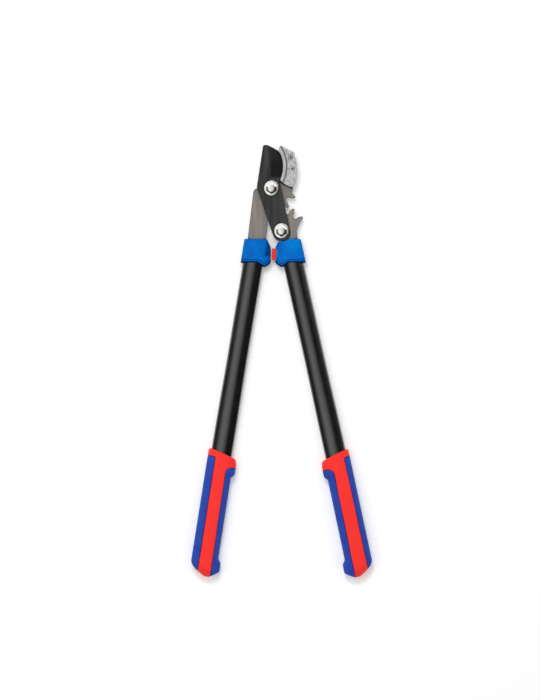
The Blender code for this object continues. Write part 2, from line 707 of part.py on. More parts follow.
def anvil(parent, alloy):
    """Cast anvil: contact lip along the edge, groove, two screw seats, and a pocket for the hook."""
    contact_top = ANVIL_TOP_Y - CONTACT_END_DROP
    contact = edge_arc(EDGE_RADIUS, EDGE_BOTTOM, contact_top)
    lip_top = edge_x(contact_top, EDGE_RADIUS)
    edge_foot = edge_x(EDGE_BOTTOM, EDGE_RADIUS)
    corners = sharp(reversed(contact))
    corners += [
        corner_from((edge_foot, EDGE_BOTTOM), ANVIL_TOE),
        corner_from((edge_foot, ANVIL_BOTTOM_Y), ANVIL_THROAT),
        corner_from((EDGE_REACH, ANVIL_BOTTOM_Y), ANVIL_FOOT),
        corner_from((EDGE_REACH, ANVIL_BOTTOM_Y), ANVIL_HEEL),
    ]
    corners += sharp(back_arc(0, ANVIL_BOTTOM_Y + ANVIL_BACK_START, ANVIL_SHOULDER_Y - ANVIL_BACK_STOP))
    corners += [
        corner_from((EDGE_REACH, ANVIL_SHOULDER_Y), ANVIL_SHOULDER),
        corner_from((lip_top + ANVIL_LIP, ANVIL_TOP_Y), LIP_FOOT),
        (lip_top + ANVIL_LIP, ANVIL_TOP_Y, LIP_CORNER_ROUND),
        corner_from((lip_top, ANVIL_TOP_Y), LIP_NOSE),
    ]
    cast = place("anvil", plate(rounded(corners), ANVIL_Z, ANVIL_TOP_Z, ANVIL_ROUND, 2), parent, alloy)
    pocket_wall = EDGE_RADIUS + POCKET_WALL
    far = EDGE_REACH + 2 * ANVIL_WIDTH
    top = HOOK_TOP_Y + GAP
    sill = EDGE_BOTTOM + POCKET_SILL_RISE
    pocket = edge_arc(pocket_wall, sill, top)
    pocket += [Vector((far, top)), Vector((far, -sill)), Vector((0, -sill)), Vector((0, sill))]
    pocket = prism(pocket, ANVIL_Z - CUT_PAST, ARM_Z + ARM_THICKNESS + GAP)
    boolean(cast, place("hook_pocket", pocket, parent))
    middle = EDGE_RADIUS + ANVIL_LIP
    low, high = EDGE_BOTTOM + GROOVE_END, ANVIL_TOP_Y - GROOVE_END
    inside = edge_arc(middle - ANVIL_GROOVE_WIDTH / 2, low, high)
    outside = edge_arc(middle + ANVIL_GROOVE_WIDTH / 2, low, high)
    groove = prism(inside + outside[::-1], ANVIL_TOP_Z - ANVIL_GROOVE_DEPTH, ANVIL_TOP_Z + CUT_PAST)
    boolean(cast, place("lip_groove", groove, parent))
    seat = ANVIL_TOP_Z - SCREW_RECESS - SCREW_HEAD_HEIGHT - GAP
    for name, spot in screw_spots().items():
        drill(cast, "anvil_" + name, spot, SCREW_RADIUS + GAP, 0, ANVIL_TOP_Z + CUT_PAST)
        drill(cast, "anvil_seat_" + name, spot, SCREW_HEAD_RADIUS + GAP, seat, ANVIL_TOP_Z + CUT_PAST)


def anvil_screws(parent, steel):
    head_top = ANVIL_TOP_Z - SCREW_RECESS
    head_low = head_top - SCREW_HEAD_HEIGHT
    profile = [
        (SCREW_RADIUS, ARM_Z),
        (SCREW_RADIUS, head_low),
        (SCREW_HEAD_RADIUS, head_low),
        (SCREW_HEAD_RADIUS, head_top - SCREW_HEAD_BEVEL_DROP),
        (SCREW_HEAD_RADIUS - SCREW_HEAD_BEVEL, head_top),
    ]
    socket_profile = [(SOCKET_RADIUS, head_top - SOCKET_DEPTH), (SOCKET_RADIUS, head_top + MM)]
    names = ("anvil_screw_upper", "anvil_screw_lower")
    for name, (hole, spot) in zip(names, screw_spots().items()):
        screw = place(name, turned(profile, spot, SHANK_STEPS), parent, steel)
        boolean(screw, place(name + "_socket", turned(socket_profile, spot, 6), parent))


def hexagon(centre, across_flats, low, high):
    """Bmesh of a hexagon prism with a vertex towards -Y."""
    circle = across_flats / math.sqrt(3)
    angles = [-90 * DEG + 60 * DEG * i for i in range(6)]
    points = [(centre[0] + circle * math.cos(a), centre[1] + circle * math.sin(a)) for a in angles]
    return prism(points, low, high)


def pivot_hardware(prefix, parent, centre, bright, dull):
    """Flanged bolt, spacer, rear washer and lock nut of one pivot."""
    flange_top = FLANGE_Z + FLANGE_THICKNESS
    head_top = flange_top + HEAD_HEIGHT
    head_circle = HEAD_ACROSS_FLATS / math.sqrt(3)
    profile = [
        (BOLT_RADIUS - BOLT_END_CHAMFER, 0),
        (BOLT_RADIUS, BOLT_END_CHAMFER),
        (BOLT_RADIUS, FLANGE_Z),
        (FLANGE_RADIUS, FLANGE_Z),
        (FLANGE_RADIUS, FLANGE_Z + FLANGE_RIM_HEIGHT),
        (FLANGE_SHOULDER * head_circle, flange_top),
        (FLANGE_SHOULDER * head_circle, flange_top + FLANGE_STEP),
    ]
    bolt = place(prefix + "_bolt", turned(profile, centre, ROUND_STEPS), parent, bright)
    blank = hexagon(centre, HEAD_ACROSS_FLATS, flange_top - HEAD_SINK, head_top)
    head = place(prefix + "_head", blank, parent)
    wide = head_circle + CUT_PAST
    crown = [
        (wide, flange_top - MM),
        (wide, head_top - HEAD_CORNER_DROP),
        (HEAD_CROWN_SHARES[0] * head_circle, head_top),
        (HEAD_CROWN_SHARES[1] * head_circle, head_top + HEAD_CROWN_RISE),
    ]
    boolean(head, place(prefix + "_head_crown", turned(crown, centre, ROUND_STEPS), parent), "INTERSECT")
    boolean(bolt, head, "UNION")
    flat_ring(prefix + "_spacer", parent, centre, SPACER_RADIUS, SPACER_Z, SPACER_THICKNESS, dull)
    flat_ring(prefix + "_washer", parent, centre, WASHER_RADIUS, WASHER_Z, WASHER_THICKNESS, dull)
    collar_top = NUT_Z + NUT_COLLAR_HEIGHT
    blank = hexagon(centre, NUT_ACROSS_FLATS, collar_top, NUT_Z + NUT_HEIGHT)
    nut = place(prefix + "_nut", blank, parent, dull)
    skirt = cylinder(centre, NUT_COLLAR_SHARE * NUT_ACROSS_FLATS, NUT_Z, collar_top + MM)
    boolean(nut, place(prefix + "_nut_collar", skirt, parent), "UNION")
    drill(nut, prefix + "_nut_bore", centre, BORE_RADIUS, 0, BLADE_Z, ROUND_STEPS)


def flat_ring(name, parent, centre, radius, low, thickness, dull):
    """Flat ring round a bolt: a washer or a spacer."""
    blank = cylinder(centre, radius, low, low + thickness, ROUND_STEPS)
    made = place(name, blank, parent, dull)
    drill(made, name + "_bore", centre, BORE_RADIUS, 0, BLADE_Z, ROUND_STEPS)


def oval(half_width, half_depth, squareness, across=0.0, along=0.0):
    """Closed ring of points of a rounded oval about a handle's axis, (across, along, height)."""
    ring = []
    for i in range(OVAL_STEPS):
        angle = 2 * math.pi * (i + 0.5) / OVAL_STEPS
        c, s = math.cos(angle), math.sin(angle)
        x = across + half_width * math.copysign(abs(c) ** (2 / squareness), c)
        z = half_depth * math.copysign(abs(s) ** (2 / squareness), s)
        ring.append((x, along, HANDLE_Z + z))
    return ring


def tube_rings(side, inset):
    """Outer or inner skin of a tube, from its top to its lower end."""
    start = LEFT_GRIP_START if side > 0 else RIGHT_GRIP_START
    end = start + GRIP_LENGTH - TUBE_END_MARGIN
    flare_end = start - TUBE_FLARE_MARGIN
    stations = (
        (TUBE_TOP, TUBE_HALF_WIDTH, TUBE_HALF_DEPTH),
        (-flare_end + TUBE_FLARE_LENGTH, TUBE_HALF_WIDTH, TUBE_HALF_DEPTH),
        (-flare_end, TUBE_LOW_HALF_WIDTH, TUBE_LOW_HALF_DEPTH),
        (-end, TUBE_LOW_HALF_WIDTH, TUBE_LOW_HALF_DEPTH),
    )
    return [oval(w - inset, d - inset, TUBE_SQUARENESS, along=y) for y, w, d in stations]


def sleeve(outer, inner):
    """Bmesh of a tube between an outer and an inner skin of matching rings."""
    bm = bmesh.new()
    skins = [[[bm.verts.new(p) for p in ring] for ring in rings] for rings in (outer, inner)]
    count = len(outer[0])
    for rings in skins:
        for low, high in zip(rings, rings[1:]):
            for i in range(count):
                j = (i + 1) % count
                bm.faces.new((low[i], low[j], high[j], high[i]))
    for end in (0, -1):
        for i in range(count):
            j = (i + 1) % count
            bm.faces.new((skins[0][end][i], skins[0][end][j], skins[1][end][j], skins[1][end][i]))
    return bm


def rivet_alongs():
    return (TUBE_TOP - UPPER_RIVET_DROP, TUBE_TOP - UPPER_RIVET_DROP - RIVET_PITCH)


def rivet_holes(target, side, name):
    """Holes for both rivets in an arm, whose mesh is relative to its body's pivot."""
    pivot = Vector((0, 0)) if side > 0 else LINK
    for i, along in enumerate(rivet_alongs()):
        spot = handle_point(side, 0, along) - pivot
        drill(target, f"{name}_rivet_hole_{i}", spot, RIVET_RADIUS + GAP, 0, BLADE_Z)


def tube(name, parent, side, paint, steel):
    """Oval tube with its two rivets through the tang."""
    made = place(name + "_tube", sleeve(tube_rings(side, 0), tube_rings(side, TUBE_WALL)), parent, paint)
    reach = TUBE_HALF_DEPTH - GAP
    for label, along in zip(("upper", "lower"), rivet_alongs()):
        drill(made, f"{name}_tube_{label}_hole", (0, along), RIVET_RADIUS + GAP, 0, 2 * HANDLE_Z)
        profile = [
            (RIVET_RADIUS - RIVET_CHAMFER, HANDLE_Z - reach),
            (RIVET_RADIUS, HANDLE_Z - reach + RIVET_CHAMFER),
            (RIVET_RADIUS, HANDLE_Z + reach - RIVET_CHAMFER),
            (RIVET_RADIUS - RIVET_CHAMFER, HANDLE_Z + reach),
        ]
        place(f"{name}_rivet_{label}", turned(profile, (0, along), SHANK_STEPS), parent, steel)


def collar(name, body, handle, side, plastic):
    """Moulded collar over the joint of arm and tube, with a stop face at the middle of the lopper."""
    head = handle_axes(side)[0]
    pivot = Vector((0, 0)) if side > 0 else LINK
    face = BUMPER_FACE_X + (-STOP_CLEARANCE if side > 0 else BUMPER_PROUD)
    low = HEAD_Y - COLLAR_DROP
    corners = [
        (*at_level(side, -COLLAR_HALF_WIDTH, COLLAR_TOP_Y), COLLAR_OUTER_ROUND),
        (*at_level(side, -COLLAR_HALF_WIDTH, low), COLLAR_LIP_ROUND),
        (head.x - side * COLLAR_SKIRT_START, low, COLLAR_BELLY_ROUND),
        (face - side * COLLAR_BELLY_REACH, low - COLLAR_SKIRT, COLLAR_SKIRT_ROUND),
        (face - side * COLLAR_TOE_REACH, low - COLLAR_SKIRT + COLLAR_TOE_RISE, COLLAR_FACE_ROUND),
        (face, low - COLLAR_FACE_DROP, COLLAR_FACE_ROUND),
        (face, HEAD_Y + COLLAR_FACE_RISE, COLLAR_FACE_TOP_ROUND),
        (*at_level(side, COLLAR_THROAT, COLLAR_TOP_Y), COLLAR_THROAT_ROUND),
    ]
    corners = [(x - pivot.x, y - pivot.y, r) for x, y, r in corners]
    bottom, top = HANDLE_Z - COLLAR_HALF_DEPTH, HANDLE_Z + COLLAR_HALF_DEPTH
    made = place(name, cushion(corners, bottom, top, COLLAR_ROUND), body, plastic)
    bore = [
        oval(TUBE_HALF_WIDTH + GAP, TUBE_HALF_DEPTH + GAP, TUBE_SQUARENESS, along=y)
        for y in (TUBE_TOP + GAP, -3 * COLLAR_DROP)
    ]
    boolean(made, place(name + "_bore", loft(bore), handle))
    half = TANG_WIDTH / 2 + GAP
    slot = [(-half, 0), (half, 0), (half, 3 * COLLAR_RISE), (-half, 3 * COLLAR_RISE)]
    half_plate = ARM_THICKNESS / 2 + GAP
    slot = prism(slot, HANDLE_Z - half_plate, HANDLE_Z + half_plate)
    boolean(made, place(name + "_slot", slot, handle))
    return made


def bumper(body, collar_object, rubber):
    """Stop on the right collar, with the seat that it is pressed into."""
    high = HEAD_Y - BUMPER_DROP + BUMPER_HEIGHT / 2
    low = high - BUMPER_HEIGHT

    def block(grow, far):
        near = BUMPER_FACE_X
        points = [(near, low - grow), (far, low - grow), (far, high + grow), (near, high + grow)]
        half = BUMPER_DEPTH / 2 + grow
        return plate(shift(points, LINK), HANDLE_Z - half, HANDLE_Z + half, BUMPER_ROUND)

    back = BUMPER_FACE_X + BUMPER_PROUD + BUMPER_SEAT
    place("bumper", block(0, back), body, rubber)
    boolean(collar_object, place("bumper_seat", block(GAP, back + GAP), body))


def grip_outer(s):
    """Half width of a grip on its outer side, at a distance down from its top."""
    t = max(0.0, (s - (GRIP_LENGTH - END_OUTER_LENGTH)) / END_OUTER_LENGTH)
    return GRIP_HALF_WIDTH - END_OUTER_DRAW * t**END_OUTER_POWER


def grip_inner(s):
    """Half width of a grip on its inner side: finger guard at the top, knob and rounding at the end."""
    guard = smooth_step((s - GUARD_START) / GUARD_RISE)
    guard -= smooth_step((s - GUARD_START - GUARD_LENGTH) / GUARD_FALL)
    knob = smooth_step((s - (GRIP_LENGTH - KNOB_LENGTH)) / KNOB_RISE)
    tuck = GRIP_TOP_TUCK * (1 - smooth_step(s / GUARD_START))
    t = max(0.0, (s - (GRIP_LENGTH - END_INNER_LENGTH)) / END_INNER_LENGTH)
    width = GRIP_HALF_WIDTH + GUARD_HEIGHT * guard + KNOB_HEIGHT * knob
    return width - tuck - END_INNER_DRAW * t**END_INNER_POWER


def grip_stations():
    """Distances down the grip where its section changes."""
    guard_end = GUARD_START + GUARD_LENGTH
    stations = [0.0, GRIP_TOP_ROUND, GUARD_START]
    stations += [GUARD_START + GUARD_RISE * t for t in GUARD_RISE_SHARES]
    stations += [guard_end + GUARD_FALL * t for t in GUARD_FALL_SHARES]
    stations += [GRIP_LENGTH - KNOB_LENGTH + KNOB_RISE * t for t in KNOB_RISE_SHARES]
    stations += [GRIP_LENGTH - END_INNER_LENGTH * t for t in END_SHARES]
    return stations


def grip_skin(side, inset):
    """Bmesh of a grip's outer form, or of the same form drawn in all round by inset."""
    start = LEFT_GRIP_START if side > 0 else RIGHT_GRIP_START
    rings = []
    for s in grip_stations():
        fade = max(0.0, 1 - s / GRIP_SLANT_FADE)
        inner_s = s + GRIP_TOP_SLANT * fade
        outer = grip_outer(s) - inset
        inner = grip_inner(inner_s) - inset
        edge = GRIP_TOP_ROUND if s == 0.0 else 0.0
        half_width = (outer + inner) / 2 - edge
        to_end = min(1.0, (GRIP_LENGTH - s) / END_OUTER_LENGTH)
        closing = 1 - (1 - END_LEAST_DEPTH) * (1 - to_end) ** 3
        half_depth = (HANDLE_Z + GRIP_CROWN) * closing - inset - edge
        middle = (inner - outer) / 2
        ring = []
        for x, y, z in oval(half_width, half_depth, GRIP_SQUARENESS, across=middle):
            lean_in = (x + GRIP_HALF_WIDTH) / (2 * GRIP_HALF_WIDTH)
            along = -(start + s + GRIP_TOP_SLANT * fade * lean_in)
            flat = HANDLE_Z - inset
            ring.append((side * x, along, HANDLE_Z + min(max(z - HANDLE_Z, -flat), flat)))
        rings.append(ring)
    return loft(rings)


def pad_zone(name, parent, side, inner, grow, finish=None):
    """Block that covers the side of a grip where a soft pad lies, seen from the front."""
    start = LEFT_GRIP_START if side > 0 else RIGHT_GRIP_START
    towards = side if inner else -side
    top = -(start + (INNER_PAD_TOP if inner else OUTER_PAD_TOP)) + grow
    end = -(start + 1.5 * GRIP_LENGTH)
    seam = STRIPE_HALF_WIDTH - grow
    far = 2 * GRIP_HALF_WIDTH
    corner = (INNER_PAD_CORNER if inner else OUTER_PAD_CORNER) + grow
    corners = [(seam, end, 0), (seam, top, corner), (far, top, 0), (far, end, 0)]
    outline = rounded([(towards * x, y, r) for x, y, r in corners])
    return place(name, prism(outline, -HANDLE_Z, 3 * HANDLE_Z), parent, finish)


def grip(name, parent, side, hard, soft):
    """Grip core with its bore and pad recesses, and the two pads that fill them flush."""
    core = place(name + "_grip_core", grip_skin(side, 0), parent, hard)
    under = place(name + "_under_pads", grip_skin(side, PAD_THICKNESS), parent)
    floor = place(name + "_recess_floor", grip_skin(side, PAD_THICKNESS + GAP), parent)
    whole = place(name + "_pad_form", grip_skin(side, 0), parent)
    for label, inner in (("outer", False), ("inner", True)):
        recess = pad_zone(f"{name}_{label}_recess", parent, side, inner, GAP)
        boolean(recess, floor)
        boolean(core, recess)
        pad = pad_zone(f"{name}_grip_{label}_pad", parent, side, inner, 0, soft)
        boolean(pad, whole, "INTERSECT")
        boolean(pad, under)
    start = LEFT_GRIP_START if side > 0 else RIGHT_GRIP_START
    end = start + GRIP_LENGTH - TUBE_END_MARGIN + GAP
    bore = [
        oval(TUBE_LOW_HALF_WIDTH + GAP, TUBE_LOW_HALF_DEPTH + GAP, TUBE_SQUARENESS, along=y)
        for y in (-start + 2 * GRIP_TOP_SLANT, -end)
    ]
    boolean(core, place(name + "_grip_bore", loft(bore), parent))


def build():
    for obj in list(bpy.data.objects):
        bpy.data.objects.remove(obj, do_unlink=True)
    coated = material("black_coating", (0.035, 0.035, 0.036), 0.42, 0.0)
    arm_steel = material("satin_steel", (0.26, 0.23, 0.21), 0.42, 0.9)
    alloy = material("cast_aluminium", (0.56, 0.56, 0.56), 0.45, 0.9)
    bright = material("chromed_steel", (0.8, 0.79, 0.77), 0.15, 1.0)
    zinc = material("zinc_plate", (0.5, 0.5, 0.5), 0.35, 1.0)
    paint = material("tube_paint", (0.015, 0.015, 0.015), 0.35, 0.0)
    blue = material("blue_plastic", (0.005, 0.12, 0.6), 0.25, 0.0)
    red = material("red_plastic", (0.85, 0.04, 0.03), 0.4, 0.0)
    soft_blue = material("soft_blue", (0.02, 0.06, 0.4), 0.6, 0.0)
    rubber = material("red_rubber", (0.75, 0.03, 0.03), 0.6, 0.0)

    left_body = frame("left_handle_frame", (0, 0, 0))
    blade_body = frame("blade_frame", (0, 0, 0), parent=left_body)
    right_body = frame("right_handle_frame", (*LINK, 0), parent=blade_body)
    left_head = handle_axes(1)[0]
    right_head = handle_axes(-1)[0] - LINK
    left_axis = frame("left_tube_frame", (*left_head, 0), -LEFT_LEAN, left_body)
    right_axis = frame("right_tube_frame", (*right_head, 0), RIGHT_LEAN, right_body)

    hook_arm(left_body, arm_steel)
    anvil(left_body, alloy)
    anvil_screws(left_body, zinc)
    pivot_hardware("main_pivot", left_body, (0, 0), bright, zinc)
    collar("left_collar", left_body, left_axis, 1, blue)
    tube("left", left_axis, 1, paint, zinc)
    grip("left", left_axis, 1, red, soft_blue)

    blade_lever(blade_body, coated)
    pivot_hardware("link", blade_body, LINK, bright, zinc)

    right_arm(right_body, arm_steel)
    right_collar = collar("right_collar", right_body, right_axis, -1, blue)
    tail_reach = TAIL_END_RADIUS + math.hypot(*TAIL_END_SHIFT)
    relief = cylinder((0, 0), tail_reach + 2 * GAP, 0, 3 * HANDLE_Z, ROUND_STEPS)
    boolean(right_collar, place("tail_relief", relief, right_body))
    bumper(right_body, right_collar, rubber)
    tube("right", right_axis, -1, paint, zinc)
    grip("right", right_axis, -1, red, soft_blue)


build()
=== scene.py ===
"""Dressed model of a geared anvil lopper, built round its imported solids.

The lopper lies on its back. Every piece is made where the solids are, in metres, and rides on one of the
three bodies: the left handle with the hook arm and the anvil, the blade lever, and the right handle.
"""

import logging
import math
from dataclasses import dataclass, field, replace
from enum import Enum
from functools import cache
from typing import Iterable, Optional, Sequence

import bmesh
import bpy
from mathutils import Matrix, Vector


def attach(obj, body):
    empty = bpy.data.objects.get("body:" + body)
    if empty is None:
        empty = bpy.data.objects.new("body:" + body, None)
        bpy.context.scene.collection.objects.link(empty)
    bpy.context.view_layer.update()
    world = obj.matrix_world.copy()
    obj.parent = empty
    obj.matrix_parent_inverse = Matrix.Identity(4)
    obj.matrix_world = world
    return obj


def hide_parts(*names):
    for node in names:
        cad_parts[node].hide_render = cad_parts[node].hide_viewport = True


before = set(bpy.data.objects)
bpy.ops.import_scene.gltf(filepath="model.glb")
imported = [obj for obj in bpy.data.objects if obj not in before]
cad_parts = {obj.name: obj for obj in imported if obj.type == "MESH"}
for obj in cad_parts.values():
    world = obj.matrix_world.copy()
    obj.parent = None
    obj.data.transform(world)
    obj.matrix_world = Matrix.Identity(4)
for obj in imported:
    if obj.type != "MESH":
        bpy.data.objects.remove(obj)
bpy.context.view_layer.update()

LOG = logging.getLogger("lopper")
MM = 0.001
DEG = math.pi / 180.0
BEYOND = 5.0 * MM  # How far a cutter reaches past what it cuts.
SHARP_ANGLE = 32.0

Pair = tuple[float, float]
Corner = tuple[float, float, float]
Ring = list[Corner]
Rim = float | Sequence[float]
Mesh = bpy.types.Mesh
Socket = bpy.types.NodeSocket
Tree = bpy.types.NodeTree


def clamped(value: float) -> float:
    """A value kept between 0 and 1."""
    return min(max(value, 0.0), 1.0)


def smooth(value: float) -> float:
    """Smooth step from 0 to 1."""
    t = clamped(value)
    return t * t * (3 - 2 * t)


def signed_power(value: float, power: float) -> float:
    """A value raised to a power, with its sign kept."""
    return math.copysign(abs(value) ** power, value)


def spread(start: float, end: float, count: int) -> list[float]:
    """Values from start to end in equal steps, both ends included."""
    return [start + (end - start) * i / count for i in range(count + 1)]


def polar(centre: Sequence[float], radius: float, turn: float) -> Pair:
    """Point at a radius and an angle from a centre."""
    return (centre[0] + radius * math.cos(turn), centre[1] + radius * math.sin(turn))


def distance_to(point: Vector, start: Vector, end: Vector) -> float:
    """Distance from a point to a line between two points."""
    run = end - start
    share = clamped((point - start).dot(run) / run.length_squared)
    return (point - start - run * share).length


def outwardness(bm: bmesh.types.BMesh, height: float) -> float:
    """Positive when an open tube's faces point away from its axis."""
    total = 0.0
    for face in bm.faces:
        face.normal_update()
        middle = face.calc_center_median()
        total += Vector((middle.x, 0, middle.z - height)).dot(face.normal)
    return total


def placed(name: str, data: bpy.types.ID) -> bpy.types.Object:
    """A new object in the scene."""
    made = bpy.data.objects.new(name, data)
    bpy.context.scene.collection.objects.link(made)
    return made


class Side(Enum):
    """The two handles, with the sign of the direction from each one towards the other."""

    LEFT = 1
    RIGHT = -1

    @property
    def body(self) -> str:
        """Body that the handle's pieces ride on."""
        return "left_handle" if self is Side.LEFT else "right_handle"

    @property
    def word(self) -> str:
        """The side's word in piece and node names."""
        return self.name.lower()


class Grain(Enum):
    """Kinds of surface relief, as (noise scale, noise detail, stretch along Y)."""

    FINE = (1400.0, 3.0, 1.0)
    CAST = (520.0, 5.0, 1.0)
    BRUSHED = (900.0, 4.0, 0.06)
    PEEL = (260.0, 2.0, 1.0)
    MATT = (2200.0, 2.0, 1.0)


@dataclass(frozen=True)
class Layout:
    """Sizes that several sub-assemblies share, as the solids have them."""

    gap: float = 0.3 * MM
    edge_gap: float = 0.36 * MM
    pivot_distance: float = 72.2 * MM
    link_direction: float = -76.7 * DEG
    handle_z: float = 15.0 * MM
    arm_z: float = 12.5 * MM
    plate_thickness: float = 5.0 * MM
    spacer_z: float = 17.8 * MM
    blade_z: float = 19.1 * MM
    flange_z: float = 24.4 * MM
    bolt_radius: float = 5.0 * MM
    bore_radius: float = 5.3 * MM
    eye_radius: float = 15.0 * MM
    head_y: float = -100.0 * MM
    left_lean: float = 9.4 * DEG
    right_lean: float = 12.5 * DEG
    left_head_x: float = -26.6 * MM
    right_head_x: float = 30.8 * MM
    collar_rise: float = 16.9 * MM
    edge_radius: float = 52.0 * MM
    edge_reach: float = 19.2 * MM
    edge_level: float = 35.7 * MM
    edge_bottom: float = 14.0 * MM
    edge_top: float = 58.0 * MM
    tang_width: float = 22.0 * MM

    @property
    def link(self) -> Vector:
        """Place of the link pivot."""
        turn = self.link_direction
        return Vector((math.cos(turn), math.sin(turn))) * self.pivot_distance

    @property
    def gear_radius(self) -> float:
        """Pitch radius of both sectors."""
        return self.pivot_distance / 2

    @property
    def blade_mid_z(self) -> float:
        """Height of the cutting edge."""
        return self.blade_z + self.plate_thickness / 2

    @property
    def collar_top_y(self) -> float:
        """Height of both collars' upper edges in the view from the front."""
        return self.head_y + self.collar_rise

    @property
    def edge_centre(self) -> Vector:
        """Centre of the cutting edge's arc."""
        return Vector((self.edge_reach - self.edge_radius, self.edge_level))

    def axes(self, side: Side) -> tuple[Vector, Vector, Vector]:
        """Head point, upward direction and inward direction of a handle.

        Args:
            side: The handle.

        Returns:
            The three vectors, in the plane of the lopper.
        """
        left = side is Side.LEFT
        lean = self.left_lean if left else -self.right_lean
        head = Vector((self.left_head_x if left else self.right_head_x, self.head_y))
        up = Vector((math.sin(lean), math.cos(lean)))
        return head, up, Vector((up.y, -up.x)) * side.value

    def matrix(self, side: Side) -> Matrix:
        """Placement of a handle's own frame: X across to the right, Y up its axis."""
        head = self.axes(side)[0]
        lean = -self.left_lean if side is Side.LEFT else self.right_lean
        return Matrix.Translation((head.x, head.y, 0)) @ Matrix.Rotation(lean, 4, "Z")

    def point(self, side: Side, across: float, along: float) -> Vector:
        """Place of a point across a handle's axis towards the other handle, and along it to the head."""
        head, up, inward = self.axes(side)
        return head + inward * across + up * along

    def at_level(self, side: Side, across: float, level: float) -> Vector:
        """Where a line beside a handle's axis crosses a height."""
        head, up, inward = self.axes(side)
        return self.point(side, across, (level - head.y - inward.y * across) / up.y)

    def edge_x(self, level: float, radius: float) -> float:
        """Where an arc about the cutting edge's centre crosses a height."""
        return self.edge_centre.x + math.sqrt(radius**2 - (level - self.edge_centre.y) ** 2)

    def edge_arc(self, radius: float, low: float, high: float, steps: int = 40) -> list[Vector]:
        """Part of an arc about the cutting edge's centre between two heights, upwards."""
        start = math.asin((low - self.edge_centre.y) / radius)
        end = math.asin((high - self.edge_centre.y) / radius)
        return Outline.arc(self.edge_centre, radius, start, end, steps)


class Outline:
    """Flat outlines made of straight lines and tangent arcs."""

    ARC_STEP = 5.0 * DEG
    LONGEST_TANGENT = 0.48
    STRAIGHT = 1e-4
    COUNT_SLACK = 1e-3

    @classmethod
    def arc(
        cls, centre: Sequence[float], radius: float, start: float, end: float, steps: Optional[int] = None
    ) -> list[Vector]:
        """Points on an arc, both ends included.

        Args:
            centre: Centre of the arc.
            radius: Its radius.
            start: First angle, in radians.
            end: Last angle, in radians.
            steps: Number of chords, or None for one each ARC_STEP.

        Returns:
            The points from start to end.
        """
        count = steps or max(1, math.ceil(abs(end - start) / cls.ARC_STEP - cls.COUNT_SLACK))
        return [Vector(polar(centre, radius, turn)) for turn in spread(start, end, count)]

    @staticmethod
    def sharp(points: Iterable[Sequence[float]]) -> list[Corner]:
        """Corners with no rounding at the given points."""
        return [(p[0], p[1], 0.0) for p in points]

    @classmethod
    def rounded(cls, corners: Sequence[Corner]) -> list[Vector]:
        """Outline through corners, each with a tangent arc of its radius.

        Args:
            corners: (x, y, radius) of each corner; a radius of 0 leaves it sharp.

        Returns:
            The outline's points.
        """
        points: list[Vector] = []
        for i, (x, y, radius) in enumerate(corners):
            here = Vector((x, y))
            before = Vector(corners[i - 1][:2]) - here
            after = Vector(corners[(i + 1) % len(corners)][:2]) - here
            turn = before.angle(after)
            if radius <= 0 or turn > math.pi - cls.STRAIGHT:
                points.append(here)
                continue
            longest = cls.LONGEST_TANGENT * min(before.length, after.length)
            reach = min(radius / math.tan(turn / 2), longest)
            fitted = reach * math.tan(turn / 2)
            inwards = (before.normalized() + after.normalized()).normalized()
            centre = here + inwards * (fitted / math.sin(turn / 2))
            first = here + before.normalized() * reach - centre
            last = here + after.normalized() * reach - centre
            start = math.atan2(first.y, first.x)
            points += cls.arc(centre, fitted, start, start - first.angle_signed(last))
        return points

    @staticmethod
    def drawn_in(points: Sequence[Corner], inset: float) -> list[Corner]:
        """Corners of an outline moved in by inset, each with the radius that it had."""
        ahead = [*points[1:], points[0]]
        area = sum(p[0] * q[1] - q[0] * p[1] for p, q in zip(points, ahead))
        inwards = math.copysign(inset, area)
        moved = []
        for (x, y, radius), last, then in zip(points, [points[-1], *points], ahead):
            before = (Vector((x, y)) - Vector(last[:2])).normalized()
            after = (Vector(then[:2]) - Vector((x, y))).normalized()
            mitre = Vector((-before.y - after.y, before.x + after.x)) * (inwards / (1 + before.dot(after)))
            moved.append((x + mitre.x, y + mitre.y, radius))
        return moved

    @staticmethod
    def quarter(radius: float, steps: int) -> list[Corner]:
        """(inset, drop, sine) of each layer of a rounded edge, from the face round to the flank."""
        turns = spread(0.0, math.pi / 2, steps)
        return [(radius * (1 - math.sin(t)), radius * (1 - math.cos(t)), math.sin(t)) for t in turns]

    @staticmethod
    def corner_from(origin: Sequence[float], corner: Corner) -> Corner:
        """A corner given as (across, up, radius) from an origin."""
        return (origin[0] + corner[0], origin[1] + corner[1], corner[2])


